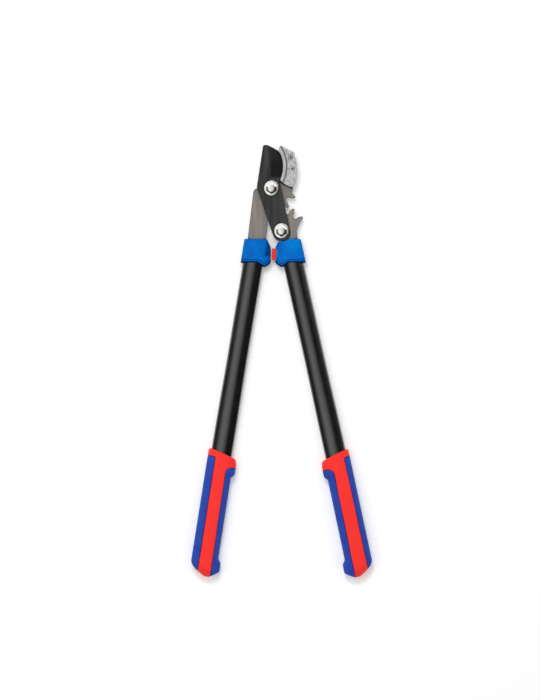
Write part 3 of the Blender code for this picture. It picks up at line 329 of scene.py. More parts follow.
class Maker:
    """Closed meshes from rings of points."""

    # Attribute that marks where finishes paint shade: edges, grooves, seams and recesses.
    RIM = "rim"

    @staticmethod
    def loft(rings: Sequence[Ring], rims: Optional[Sequence[Rim]] = None) -> Mesh:
        """A skin over closed rings, with both ends filled.

        Args:
            rings: Rings of as many points each.
            rims: How much painted shade each ring, or each point of a ring, takes at the piece's rim, from 0 to
                1.

        Returns:
            The mesh, with its faces outwards.
        """
        bm = bmesh.new()
        layer = bm.verts.layers.float.new(Maker.RIM)
        made = []
        for index, ring in enumerate(rings):
            rim = rims[index] if rims else 0.0
            shares = [rim] * len(ring) if isinstance(rim, float) else rim
            row = [bm.verts.new(p) for p in ring]
            for vert, share in zip(row, shares):
                vert[layer] = share
            made.append(row)
        for low, high in zip(made, made[1:]):
            for i in range(len(low)):
                j = (i + 1) % len(low)
                bm.faces.new((low[i], low[j], high[j], high[i]))
        bm.faces.new(reversed(made[0]))
        bm.faces.new(made[-1])
        return Maker.to_mesh(bm)

    @staticmethod
    def to_mesh(bm: bmesh.types.BMesh) -> Mesh:
        """A mesh from a bmesh, which is freed, with its faces outwards."""
        bmesh.ops.recalc_face_normals(bm, faces=bm.faces)
        mesh = bpy.data.meshes.new("made")
        bm.to_mesh(mesh)
        bm.free()
        return mesh

    @staticmethod
    def plate(
        points: Sequence[Vector], low: float, high: float, edge: float, steps: int = 3, band: float = 0.0,
        band_rim: float = 0.5,
    ) -> Mesh:
        """A flat plate whose long edges are rounded over.

        Args:
            points: The outline.
            low: Height of the back.
            high: Height of the front.
            edge: Radius of the rounding.
            steps: Number of facets over the rounding.
            band: Width of the band of painted shade inside the rounding, or 0 for none.
            band_rim: Rim value where the band meets the rounding.

        Returns:
            The mesh; its rim attribute, which paints shade, is 1 at the edges and 0 on the faces.
        """
        corners = Outline.sharp(points)
        rings: list[Ring] = []
        rims: list[float] = []
        for end, up in ((low, 1), (high, -1)):
            layers = Outline.quarter(edge, steps)
            if band:
                layers = [(inset, drop, max(rim, band_rim)) for inset, drop, rim in layers]
                layers.insert(0, (edge + band, 0.0, 0.0))
            for inset, drop, rim in layers[::up]:
                drawn = Outline.drawn_in(corners, inset)
                rings.append([(x, y, end + up * drop) for x, y, _ in drawn])
                rims.append(rim)
        return Maker.loft(rings, rims)

    @staticmethod
    def turned(profile: Sequence[Pair], centre: Sequence[float], steps: int = 72) -> Mesh:
        """A (radius, height) profile turned round the vertical axis through centre."""
        turns = [2 * math.pi * i / steps for i in range(steps)]
        return Maker.loft([[(*polar(centre, radius, turn), z) for turn in turns] for radius, z in profile])

    @staticmethod
    def cylinder(centre: Sequence[float], radius: float, low: float, high: float, steps: int = 72) -> Mesh:
        """An upright cylinder about a centre."""
        return Maker.turned([(radius, low), (radius, high)], centre, steps)

    @staticmethod
    def prism(points: Sequence[Sequence[float]], low: float, high: float) -> Mesh:
        """An outline raised from low to high."""
        return Maker.loft([[(p[0], p[1], z) for p in points] for z in (low, high)])

    @staticmethod
    def hexagon(centre: Sequence[float], across_flats: float, low: float, high: float) -> Mesh:
        """A hexagon prism with a vertex towards -Y."""
        circle = across_flats / math.sqrt(3)
        turns = [-90 * DEG + 60 * DEG * i for i in range(6)]
        return Maker.prism([polar(centre, circle, turn) for turn in turns], low, high)

    @staticmethod
    def carved(mesh: Mesh, *others: tuple[Mesh, str]) -> Mesh:
        """A mesh after exact Boolean steps.

        Args:
            mesh: What is worked on.
            others: Each other mesh with its operation: DIFFERENCE, UNION or INTERSECT.

        Returns:
            The resulting mesh.
        """
        target = placed("carving", mesh)
        helpers = [placed("helper", other) for other, _ in others]
        for helper, (_, operation) in zip(helpers, others):
            step = target.modifiers.new("step", "BOOLEAN")
            step.operation = operation
            step.solver = "EXACT"
            step.object = helper
        return Maker.baked(target, *helpers)

    @staticmethod
    def baked(target: bpy.types.Object, *helpers: bpy.types.Object) -> Mesh:
        """The evaluated mesh of an object; the object and its helpers are removed."""
        bpy.context.view_layer.update()
        graph = bpy.context.evaluated_depsgraph_get()
        made = bpy.data.meshes.new_from_object(target.evaluated_get(graph))
        for obj in (target, *helpers):
            bpy.data.objects.remove(obj, do_unlink=True)
        return made


class Nodes:
    """Short ways to write node trees."""

    # Numbers of the colour sockets of a Mix node, whose names are those of its other kinds too.
    MIX_FIRST, MIX_SECOND, MIX_RESULT = 6, 7, 2

    def __init__(self, tree: Tree) -> None:
        """Keeps the tree that nodes are added to."""
        self.tree = tree

    def add(self, kind: str, **settings: object) -> bpy.types.Node:
        """A new node of a kind, with its settings."""
        node = self.tree.nodes.new(kind)
        for name, value in settings.items():
            setattr(node, name, value)
        return node

    def feed(self, socket: Socket, value: object) -> None:
        """Links a socket to another, or sets its value."""
        if isinstance(value, Socket):
            self.tree.links.new(value, socket)
        else:
            socket.default_value = value

    def wired(self, kind: str, inputs: dict[str | int, object], **settings: object) -> bpy.types.Node:
        """A new node with its settings, and its inputs fed by name or number."""
        node = self.add(kind, **settings)
        for key, value in inputs.items():
            self.feed(node.inputs[key], value)
        return node

    def maths(self, operation: str, *values: object, clamp: bool = False) -> Socket:
        """A Math node of shader or geometry trees, fed with values or sockets."""
        inputs = dict(enumerate(values))
        return self.wired("ShaderNodeMath", inputs, operation=operation, use_clamp=clamp).outputs[0]

    def mix(self, factor: object, first: object, second: object) -> Socket:
        """A colour mix."""
        inputs = {"Factor": factor, self.MIX_FIRST: first, self.MIX_SECOND: second}
        return self.wired("ShaderNodeMix", inputs, data_type="RGBA").outputs[self.MIX_RESULT]

    def ramp(self, value: Socket, low: object, high: object) -> Socket:
        """A value from 0 at low to 1 at high, smoothly."""
        inputs = {"Value": value, "From Min": low, "From Max": high}
        return self.wired("ShaderNodeMapRange", inputs, interpolation_type="SMOOTHSTEP").outputs["Result"]

    def parts(self, vector: Socket) -> bpy.types.bpy_prop_collection:
        """The X, Y and Z of a vector, as sockets."""
        return self.wired("ShaderNodeSeparateXYZ", {0: vector}).outputs

    def place(self) -> Socket:
        """Object coordinates."""
        return self.add("ShaderNodeTexCoord").outputs["Object"]


class Effects:
    """Shader node groups that several materials share."""

    CLOUD_RAMP = (0.35, 0.65)
    SPECK_RAMP = (0.52, 0.7)
    SCRATCH_RAMP = (0.68, 0.78)
    SCRATCH_TURN = (0.0, 0.0, 34 * DEG)
    SCRATCH_STRETCH = (1.0, 0.05, 1.0)
    SCRATCH_SCALE = 420.0

    @staticmethod
    def _group(name: str, inputs: dict[str, object], *outputs: str) -> Nodes:
        """A new group: numbers and vectors go in, numbers come out."""
        tree = bpy.data.node_groups.new(name, "ShaderNodeTree")
        for label, value in inputs.items():
            kind = "NodeSocketFloat" if isinstance(value, float) else "NodeSocketVector"
            tree.interface.new_socket(label, in_out="INPUT", socket_type=kind).default_value = value
        for label in outputs:
            tree.interface.new_socket(label, in_out="OUTPUT", socket_type="NodeSocketFloat")
        return Nodes(tree)

    @staticmethod
    def _stretched(at: Nodes, stretch: Socket) -> Socket:
        """Object coordinates with Y scaled by a factor."""
        factor = at.wired("ShaderNodeCombineXYZ", {"X": 1.0, "Y": stretch, "Z": 1.0}).outputs[0]
        return at.wired("ShaderNodeVectorMath", {0: at.place(), 1: factor}, operation="MULTIPLY").outputs[0]

    @classmethod
    @cache
    def mottle(cls) -> Tree:
        """Group that gives two soft masks: broad clouds and small specks."""
        inputs = {"Cloud Scale": 60.0, "Speck Scale": 900.0, "Stretch": 1.0}
        at = cls._group("Mottle", inputs, "Clouds", "Specks")
        source, sink = at.add("NodeGroupInput").outputs, at.add("NodeGroupOutput").inputs
        place = cls._stretched(at, source["Stretch"])
        for label, scale, ramp in (
            ("Clouds", "Cloud Scale", cls.CLOUD_RAMP),
            ("Specks", "Speck Scale", cls.SPECK_RAMP),
        ):
            noise = at.wired("ShaderNodeTexNoise", {"Vector": place, "Scale": source[scale], "Detail": 4.0})
            at.feed(sink[label], at.ramp(noise.outputs["Fac"], *ramp))
        return at.tree

    @classmethod
    @cache
    def band(cls) -> Tree:
        """Group that gives a mask of the ring between two radii about a point, and between two levels."""
        inputs = {"Centre": (0.0, 0.0, 0.0), "Inner": 0.01, "Outer": 0.02}
        inputs |= {"Low": -1.0, "High": 1.0, "Edge": 0.0003}
        at = cls._group("Band", inputs, "Mask")
        source, sink = at.add("NodeGroupInput").outputs, at.add("NodeGroupOutput").inputs
        away = at.wired("ShaderNodeVectorMath", {0: at.place(), 1: source["Centre"]}, operation="SUBTRACT")
        parts = at.parts(away.outputs[0])
        squares = [at.maths("POWER", parts[axis], 2.0) for axis in ("X", "Y")]
        radius = at.maths("SQRT", at.maths("ADD", *squares))
        level = at.parts(at.place())["Y"]
        ramps = []
        for label, value in (("Inner", radius), ("Outer", radius), ("Low", level), ("High", level)):
            ends = [at.maths(step, source[label], source["Edge"]) for step in ("SUBTRACT", "ADD")]
            ramps.append(at.ramp(value, *ends))
        ring, span = at.maths("SUBTRACT", *ramps[:2]), at.maths("SUBTRACT", *ramps[2:])
        at.feed(sink["Mask"], at.maths("MULTIPLY", ring, span))
        return at.tree

    @classmethod
    @cache
    def relief(cls) -> Tree:
        """Group that gives a height from stretched noise and sparse scratches."""
        inputs = {"Scale": 900.0, "Detail": 3.0, "Stretch": 1.0, "Scratches": 0.0}
        at = cls._group("Relief", inputs, "Height", "Scratch Mask")
        source, sink = at.add("NodeGroupInput").outputs, at.add("NodeGroupOutput").inputs
        inputs = {"Vector": cls._stretched(at, source["Stretch"])}
        inputs |= {label: source[label] for label in ("Scale", "Detail")}
        noise = at.wired("ShaderNodeTexNoise", inputs)
        inputs = {"Vector": at.place(), "Rotation": cls.SCRATCH_TURN, "Scale": cls.SCRATCH_STRETCH}
        turned = at.wired("ShaderNodeMapping", inputs).outputs[0]
        inputs = {"Vector": turned, "Scale": cls.SCRATCH_SCALE, "Detail": 1.0}
        lines = at.ramp(at.wired("ShaderNodeTexNoise", inputs).outputs["Fac"], *cls.SCRATCH_RAMP)
        mask = at.maths("MULTIPLY", lines, source["Scratches"])
        at.feed(sink["Scratch Mask"], mask)
        at.feed(sink["Height"], at.maths("SUBTRACT", noise.outputs["Fac"], mask))
        return at.tree


@dataclass(frozen=True)
class Band:
    """Strip of a surface between two arcs with a colour laid over it, mostly painted shade and painted
    highlights.

    Attributes:
        centre: Centre of both arcs.
        inner: Radius of the inner arc.
        outer: Radius of the outer arc.
        edge: Half width of the soft edges.
        colour: Colour of the strip, linear.
        share: How strongly it shows.
        ragged: How much of it the clouds take away.
        low: Lowest Y of the strip.
        high: Highest Y of the strip.
    """

    centre: Pair
    inner: float
    outer: float
    edge: float
    colour: Corner
    share: float
    ragged: float = 0.0
    low: float = -1.0
    high: float = 1.0

    def laid_over(self, at: Nodes, colour: Socket, clouds: Socket) -> Socket:
        """The colour of a surface with the strip laid over it."""
        inputs = {"Centre": (*self.centre, 0.0), "Inner": self.inner, "Outer": self.outer}
        inputs |= {"Low": self.low, "High": self.high, "Edge": self.edge}
        strip = at.wired("ShaderNodeGroup", inputs, node_tree=Effects.band())
        share = at.maths("MULTIPLY_ADD", clouds, -self.share * self.ragged, self.share)
        return at.mix(at.maths("MULTIPLY", strip.outputs["Mask"], share), colour, (*self.colour, 1.0))


@dataclass(frozen=True)
class Finish:
    """One finish of the lopper, from which its material is made.

    Attributes:
        name: Name of the material.
        colour: Main colour, linear.
        shade: Colour of the clouds in it.
        clouds: How strongly the clouds show.
        specks: How strongly small specks of the shade show.
        rim: Colour of the shade painted where the rim attribute is set.
        rim_share: How strongly the rim colour shows.
        roughness: Lowest and highest roughness.
        metallic: Metallic of the shader.
        specular: Specular IOR level of the shader.
        ior: Index of refraction of the shader.
        grain: Kind of relief.
        relief: Height of the relief, in metres.
        scratches: How strongly scratches show.
        cloud_scale: Scale of the clouds.
        streak: Stretch of the clouds along Y; small values give streaks.
        bands: Strips laid over the colour, mostly painted shade and painted highlights.
    """

    name: str
    colour: Corner
    shade: Corner
    clouds: float = 0.4
    specks: float = 0.0
    rim: Corner = (0.0, 0.0, 0.0)
    rim_share: float = 0.0
    roughness: Pair = (0.35, 0.5)
    metallic: float = 0.0
    specular: float = 0.5
    ior: float = 1.5
    grain: Grain = Grain.FINE
    relief: float = 0.00001
    scratches: float = 0.0
    cloud_scale: float = 60.0
    streak: float = 1.0
    bands: tuple[Band, ...] = ()

    def material(self) -> bpy.types.Material:
        """The finish's material, made once."""
        found = bpy.data.materials.get(self.name)
        if found:
            return found
        made = bpy.data.materials.new(self.name)
        made.use_nodes = True
        at = Nodes(made.node_tree)
        inputs = {"Cloud Scale": self.cloud_scale, "Stretch": self.streak}
        mottle = at.wired("ShaderNodeGroup", inputs, node_tree=Effects.mottle()).outputs
        scale, detail, stretch = self.grain.value
        inputs = {"Scale": scale, "Detail": detail, "Stretch": stretch, "Scratches": self.scratches}
        relief = at.wired("ShaderNodeGroup", inputs, node_tree=Effects.relief()).outputs
        clouds = at.maths("MULTIPLY", mottle["Clouds"], self.clouds)
        specks = at.maths("MULTIPLY", mottle["Specks"], self.specks)
        share = at.maths("ADD", clouds, specks, clamp=True)
        colour = at.mix(share, (*self.colour, 1.0), (*self.shade, 1.0))
        for band in self.bands:
            colour = band.laid_over(at, colour, mottle["Clouds"])
        # Painted shade: the rim colour darkens the surface where the rim attribute is set.
        rim = at.add("ShaderNodeAttribute", attribute_name=Maker.RIM).outputs["Fac"]
        colour = at.mix(at.maths("MULTIPLY", rim, self.rim_share), colour, (*self.rim, 1.0))
        low, high = self.roughness
        rough = at.maths("MULTIPLY_ADD", mottle["Clouds"], high - low, low)
        inputs = {"Strength": 1.0, "Distance": self.relief, "Height": relief["Height"]}
        bump = at.wired("ShaderNodeBump", inputs)
        for label, value in {
            "Base Color": colour,
            "Metallic": self.metallic,
            "Roughness": at.maths("ADD", rough, relief["Scratch Mask"], clamp=True),
            "Specular IOR Level": self.specular,
            "IOR": self.ior,
            "Normal": bump.outputs["Normal"],
        }.items():
            at.feed(made.node_tree.nodes["Principled BSDF"].inputs[label], value)
        return made


@dataclass(frozen=True)
class Palette:
    """All finishes of the lopper."""

    # Each rim colour below is painted shade, laid where a piece's rim attribute is set.
    coating: Finish = Finish(
        "coated_steel", (0.036, 0.036, 0.0365), (0.013, 0.013, 0.013), clouds=0.75, rim=(0.002, 0.002, 0.002),
        rim_share=0.95, roughness=(0.34, 0.46), specular=0.3, grain=Grain.PEEL, relief=0.00002,
        scratches=0.08, cloud_scale=190.0, streak=0.07,
    )
    # The ground bevel is a finish of its own; its near-black colour is partly painted shade for faces turned
    # from the light.
    ground: Finish = Finish(
        "ground_bevel", (0.0045, 0.0045, 0.0045), (0.0075, 0.0075, 0.008), roughness=(0.30, 0.38),
        specular=0.35, grain=Grain.BRUSHED, relief=0.000012, scratches=0.1, cloud_scale=60.0, streak=0.2,
    )
    arm: Finish = Finish(
        "rolled_steel", (0.275, 0.238, 0.212), (0.225, 0.206, 0.194), clouds=0.8, rim=(0.035, 0.032, 0.029),
        rim_share=0.95, roughness=(0.42, 0.55), metallic=0.25, specular=0.4, grain=Grain.BRUSHED,
        relief=0.00001, scratches=0.12, cloud_scale=150.0, streak=0.08,
    )
    casting: Finish = Finish(
        "anvil_casting", (0.57, 0.57, 0.57), (0.27, 0.27, 0.27), clouds=0.65, specks=0.45,
        rim=(0.26, 0.26, 0.26), rim_share=0.9, roughness=(0.42, 0.6), metallic=0.2, specular=0.4,
        grain=Grain.CAST, relief=0.00015, cloud_scale=260.0,
    )
    bright: Finish = Finish(
        "bright_plate", (0.98, 0.97, 0.94), (0.80, 0.78, 0.75), clouds=0.6, roughness=(0.10, 0.18),
        metallic=1.0, grain=Grain.FINE, relief=0.000003, cloud_scale=240.0,
    )
    zinc: Finish = Finish(
        "zinc_plate", (0.66, 0.66, 0.65), (0.48, 0.49, 0.50), clouds=0.6, specks=0.2, roughness=(0.24, 0.38),
        metallic=1.0, grain=Grain.FINE, relief=0.000008,
    )
    blue: Finish = Finish(
        "collar_plastic", (0.0, 0.142, 0.53), (0.0, 0.098, 0.44), clouds=0.7, rim=(0.0, 0.004, 0.04),
        rim_share=0.95, roughness=(0.26, 0.34), specular=0.06, grain=Grain.PEEL, relief=0.00001,
    )
    red: Finish = Finish(
        "grip_red", (0.98, 0.032, 0.022), (0.92, 0.028, 0.030), clouds=0.5, rim=(0.16, 0.004, 0.012),
        rim_share=0.85, roughness=(0.42, 0.5), specular=0.25, grain=Grain.MATT, relief=0.00001,
    )
    pad: Finish = Finish(
        "soft_pad", (0.012, 0.064, 0.41), (0.022, 0.042, 0.34), clouds=0.6, rim=(0.012, 0.010, 0.09),
        rim_share=0.85, roughness=(0.55, 0.68), specular=0.25, grain=Grain.MATT, relief=0.00003,
    )
    paint: Finish = Finish(
        "gloss_paint", (0.0040, 0.0040, 0.0037), (0.006, 0.006, 0.006), roughness=(0.13, 0.19), specular=1.0,
        ior=1.6, grain=Grain.PEEL, relief=0.00001,
    )
    rubber: Finish = Finish(
        "bumper_rubber", (0.74, 0.032, 0.026), (0.55, 0.022, 0.02), roughness=(0.5, 0.6), specular=0.3,
        grain=Grain.MATT, relief=0.00002, cloud_scale=120.0,
    )


def publish(
    name: str,
    mesh: Mesh,
    body: str,
    slot: str,
    nodes: Sequence[str],
    *finishes: Finish,
    angle: float = SHARP_ANGLE,
) -> bpy.types.Object:
    """Puts a finished mesh in the scene as a piece of the lopper.

    Args:
        name: Name of the piece.
        mesh: Its mesh, in place.
        body: Body that it rides on.
        slot: Material slot of the record; not used.
        nodes: Solids that it stands for.
        finishes: Its finishes, in the order of its faces' material indices.
        angle: Edges sharper than this many degrees stay sharp.

    Returns:
        The piece.
    """
    mesh.name = name
    while len(mesh.materials) < len(finishes):
        mesh.materials.append(None)
    for index, finish in enumerate(finishes):
        mesh.materials[index] = finish.material()
    mesh.shade_smooth()
    mesh.set_sharp_from_angle(angle=angle * DEG)
    piece = placed(name, mesh)
    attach(piece, body)
    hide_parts(*nodes)
    LOG.info("%s: %d faces on %s", name, len(mesh.polygons), body)
    return piece


@dataclass
class GearTeeth:
    """Teeth of the two equal sectors."""

    layout: Layout
    count: int = 13
    pressure_angle: float = 18.0 * DEG
    backlash: float = 1.2 * MM
    phase: float = 0.5 * DEG
    sector: int = 4
    addendum: float = 5.6 * MM
    dedendum: float = 6.6 * MM
    fillet_rises: tuple[float, ...] = (0.0, 0.35 * MM, 1.6 * MM)
    fillet_flares: tuple[float, ...] = (0.085, 0.045, 0.005)
    flank_start: float = 2.2 * MM
    tip_round: float = 1.4 * MM
    tip_drops: tuple[float, ...] = (0.4 * MM, 0.0)
    tip_shares: tuple[float, ...] = (0.86, 0.5)
    flank_steps: int = 6
    round_radius: float = 0.9 * MM

    @property
    def base(self) -> float:
        """Radius of the base circle."""
        return self.layout.gear_radius * math.cos(self.pressure_angle)

    @staticmethod
    def involute(angle: float) -> float:
        """Involute function of an angle."""
        return math.tan(angle) - angle

    def half_angle(self, radius: float) -> float:
        """Half of a tooth's angle at a radius."""
        pitch = self.layout.gear_radius
        quarter = math.pi / (2 * self.count) - self.backlash / (2 * pitch)
        tilt = math.acos(min(1.0, self.base / radius))
        return quarter + self.involute(self.pressure_angle) - self.involute(tilt)

    def flank(self, foot: Optional[float]) -> list[Corner]:
        """(radius, half angle, rounding) from a tooth's foot up to its tip."""
        root = self.layout.gear_radius - self.dedendum
        tip = self.layout.gear_radius + self.addendum
        pairs: list[Corner] = []
        if foot is None:
            widest = self.half_angle(self.base)
            for rise, flare in zip(self.fillet_rises, self.fillet_flares):
                pairs.append((root + rise, widest + flare, self.round_radius))
            foot = root + self.flank_start
        low, high = max(self.base, foot), tip - self.tip_round
        for radius in spread(low, high, self.flank_steps):
            pairs.append((radius, self.half_angle(radius), 0.0))
        edge = self.half_angle(high)
        for drop, share in zip(self.tip_drops, self.tip_shares):
            pairs.append((tip - drop, share * edge, self.round_radius))
        return pairs

    def tooth(
        self,
        centre: Sequence[float],
        angle: float,
        before: Optional[float] = None,
        after: Optional[float] = None,
    ) -> list[Corner]:
        """One tooth's corners, anticlockwise.

        Args:
            centre: Centre of the gear.
            angle: Direction of the tooth.
            before: Radius where its first side starts, or None for a fillet.
            after: The same for its last side.

        Returns:
            The corners.
        """
        def corner(radius: float, offset: float, rounding: float) -> Corner:
            """One corner from its polar place."""
            return (*polar(centre, radius, angle + offset), rounding)

        rising = [corner(r, -h, f) for r, h, f in self.flank(before)]
        return rising + [corner(r, h, f) for r, h, f in reversed(self.flank(after))]

    def angles(self) -> tuple[list[float], list[float]]:
        """Directions of the teeth of both sectors at rest."""
        pitch = 2 * math.pi / self.count
        direction = self.layout.link_direction
        hook_first = direction + self.phase - pitch
        arm_first = direction + math.pi - self.phase - pitch * (self.sector - 1.5)
        steps = range(self.sector)
        return [hook_first + pitch * i for i in steps], [arm_first + pitch * i for i in steps]


@dataclass
class Arms:
    """The two steel arms with their toothed sectors."""

    layout: Layout
    teeth: GearTeeth
    palette: Palette
    chamfer: float = 0.8 * MM
    # Width of a band of painted shade along the arms' edges, laid through the rim attribute.
    dark_rim: float = 0.08 * MM
    # A painted shadow: a dark strip on the hook arm just below the anvil's lower edge.
    dirt_centre: Pair = (50.0 * MM, 62.0 * MM)
    dirt_radii: Pair = (58.0 * MM, 64.4 * MM)
    dirt_edge: float = 0.4 * MM
    dirt_colour: Corner = (0.012, 0.011, 0.010)
    tang_length: float = 44.0 * MM
    tang_round: float = 3.0 * MM
    foot_round: float = 1.0 * MM
    strap_outer_x: float = -29.6 * MM
    strap_inner_x: float = -0.1 * MM
    strap_lean: float = -0.115
    strap_top: Corner = (0.0, -52.0 * MM, 8.0 * MM)
    strap_shoulder: Corner = (-29.6 * MM, -3.0 * MM, 7.0 * MM)
    strap_crest: Corner = (6.0 * MM, 3.5 * MM, 4.0 * MM)
    hook_neck: Corner = (35.2 * MM, -1.5 * MM, 4.0 * MM)
    back_radius: float = 73.0 * MM
    back_x: float = 41.7 * MM
    back_level: float = 30.0 * MM
    back_low: float = 4.8 * MM
    back_inset: float = 2.0 * MM
    back_stop: float = 6.0 * MM
    back_steps: int = 24
    hook_top: float = 60.0 * MM
    hook_tip: Corner = (-7.0 * MM, -3.5 * MM, 3.0 * MM)
    hook_tip_round: float = 2.0 * MM
    inner_wall: float = 7.3 * MM
    wall_margins: Pair = (1.0 * MM, 3.0 * MM)
    eye_corners: tuple[Corner, ...] = ((0.6, 1.0, 8.0 * MM), (-0.75, 0.85, 9.0 * MM))
    shoulder_reach: float = 26.2 * MM
    neck: Corner = (24.5 * MM, 1.5 * MM, 9.0 * MM)
    fork_back: Corner = (-15.0 * MM, 19.5 * MM, 6.0 * MM)

    def build(self) -> None:
        """Makes both arms."""
        low = self.layout.arm_z
        high = low + self.layout.plate_thickness
        for name, node, side, outline, pivot in (
            ("hook_arm_plate", "hook_arm", Side.LEFT, self.hook_outline(), Vector((0, 0))),
            ("right_arm_plate", "right_arm", Side.RIGHT, self.arm_outline(), self.layout.link),
        ):
            # The rim attribute paints shade along the plates' edges and teeth.
            plate = Maker.plate(outline, low, high, self.chamfer, band=self.dark_rim, band_rim=1.0)
            bore = Maker.cylinder(pivot, self.layout.bore_radius, 0, high + BEYOND)
            finish = self.palette.arm
            if side is Side.LEFT:
                # Painted shadow of the anvil on the hook arm.
                painted_shadow = Band(self.dirt_centre, *self.dirt_radii, self.dirt_edge, self.dirt_colour, 0.85)
                finish = replace(finish, name="rolled_steel_under_anvil", bands=(painted_shadow,))
            publish(name, Maker.carved(plate, (bore, "DIFFERENCE")), side.body, "arm_steel", [node], finish)

    def tang(self, side: Side) -> list[Corner]:
        """Corners of an arm's tang, anticlockwise."""
        at = self.layout
        level = at.collar_top_y + at.gap
        foot = (level - at.head_y) - self.tang_length
        half = at.tang_width / 2
        outer_foot = (*at.point(side, -half, foot), self.tang_round)
        inner_foot = (*at.point(side, half, foot), self.tang_round)
        outer_top = (*at.at_level(side, -half, level), 0.0)
        if side is Side.LEFT:
            return [outer_top, outer_foot, inner_foot, (*at.at_level(side, half, level), 0.0)]
        return [inner_foot, outer_foot, outer_top]

    def hook_outline(self) -> list[Vector]:
        """Outline of the hook arm."""
        at = self.layout
        level = at.collar_top_y + at.gap
        lean = self.strap_lean
        corners = [
            (self.strap_outer_x - lean * level, level, self.foot_round),
            *self.tang(Side.LEFT),
            (self.strap_inner_x - lean * level, level, self.foot_round),
            (self.strap_inner_x - lean * self.strap_top[1], self.strap_top[1], self.strap_top[2]),
        ]
        first, *middle, last = self.teeth.angles()[0]
        whole = self.teeth.tooth((0, 0), first)
        corners += whole[len(whole) // 2 - 1 :]
        for angle in middle:
            corners += self.teeth.tooth((0, 0), angle)
        corners += self.teeth.tooth((0, 0), last, after=self.teeth.base)
        corners += [self.hook_neck]
        centre = (self.back_x - self.back_inset - self.back_radius, self.back_level)
        start = math.asin((self.back_low - centre[1]) / self.back_radius)
        end = math.asin((self.hook_top - self.back_stop - centre[1]) / self.back_radius)
        corners += Outline.sharp(Outline.arc(centre, self.back_radius, start, end, self.back_steps))
        inner = at.edge_radius + self.inner_wall
        below, above = self.wall_margins
        wall = at.edge_arc(inner, at.edge_bottom - below, self.hook_top - above)
        eye = at.eye_radius
        corners += [
            Outline.corner_from((self.back_x, self.hook_top), self.hook_tip),
            (at.edge_x(self.hook_top, inner), self.hook_top, self.hook_tip_round),
            *Outline.sharp(reversed(wall)),
            *((across * eye, up * eye, rounding) for across, up, rounding in self.eye_corners),
            Outline.corner_from(self.strap_shoulder, self.strap_crest),
            self.strap_shoulder,
        ]
        return Outline.rounded(corners)

    def arm_outline(self) -> list[Vector]:
        """Outline of the right arm."""
        at = self.layout
        level = at.collar_top_y + at.gap
        head, up, inward = at.axes(Side.RIGHT)
        across = (at.link - head).dot(inward)
        along = (at.link - head).dot(up)
        drop = math.sqrt(at.eye_radius**2 - (at.tang_width / 2 - across) ** 2)
        meet = at.point(Side.RIGHT, at.tang_width / 2, along - drop) - at.link
        meet_angle = math.atan2(meet.y, meet.x) % (2 * math.pi)
        corners = self.tang(Side.RIGHT)
        corners += [
            (at.link.x + self.shoulder_reach, level, self.foot_round),
            Outline.corner_from(at.link, self.neck),
        ]
        first, *middle, last = self.teeth.angles()[1]
        corners += self.teeth.tooth(at.link, first, before=self.teeth.base)
        for angle in middle:
            corners += self.teeth.tooth(at.link, angle)
        corners += self.teeth.tooth(at.link, last, after=self.teeth.base)
        corners += [Outline.corner_from(at.link, self.fork_back)]
        corners += Outline.sharp(Outline.arc(at.link, at.eye_radius, 170 * DEG, meet_angle))
        return Outline.rounded(corners)


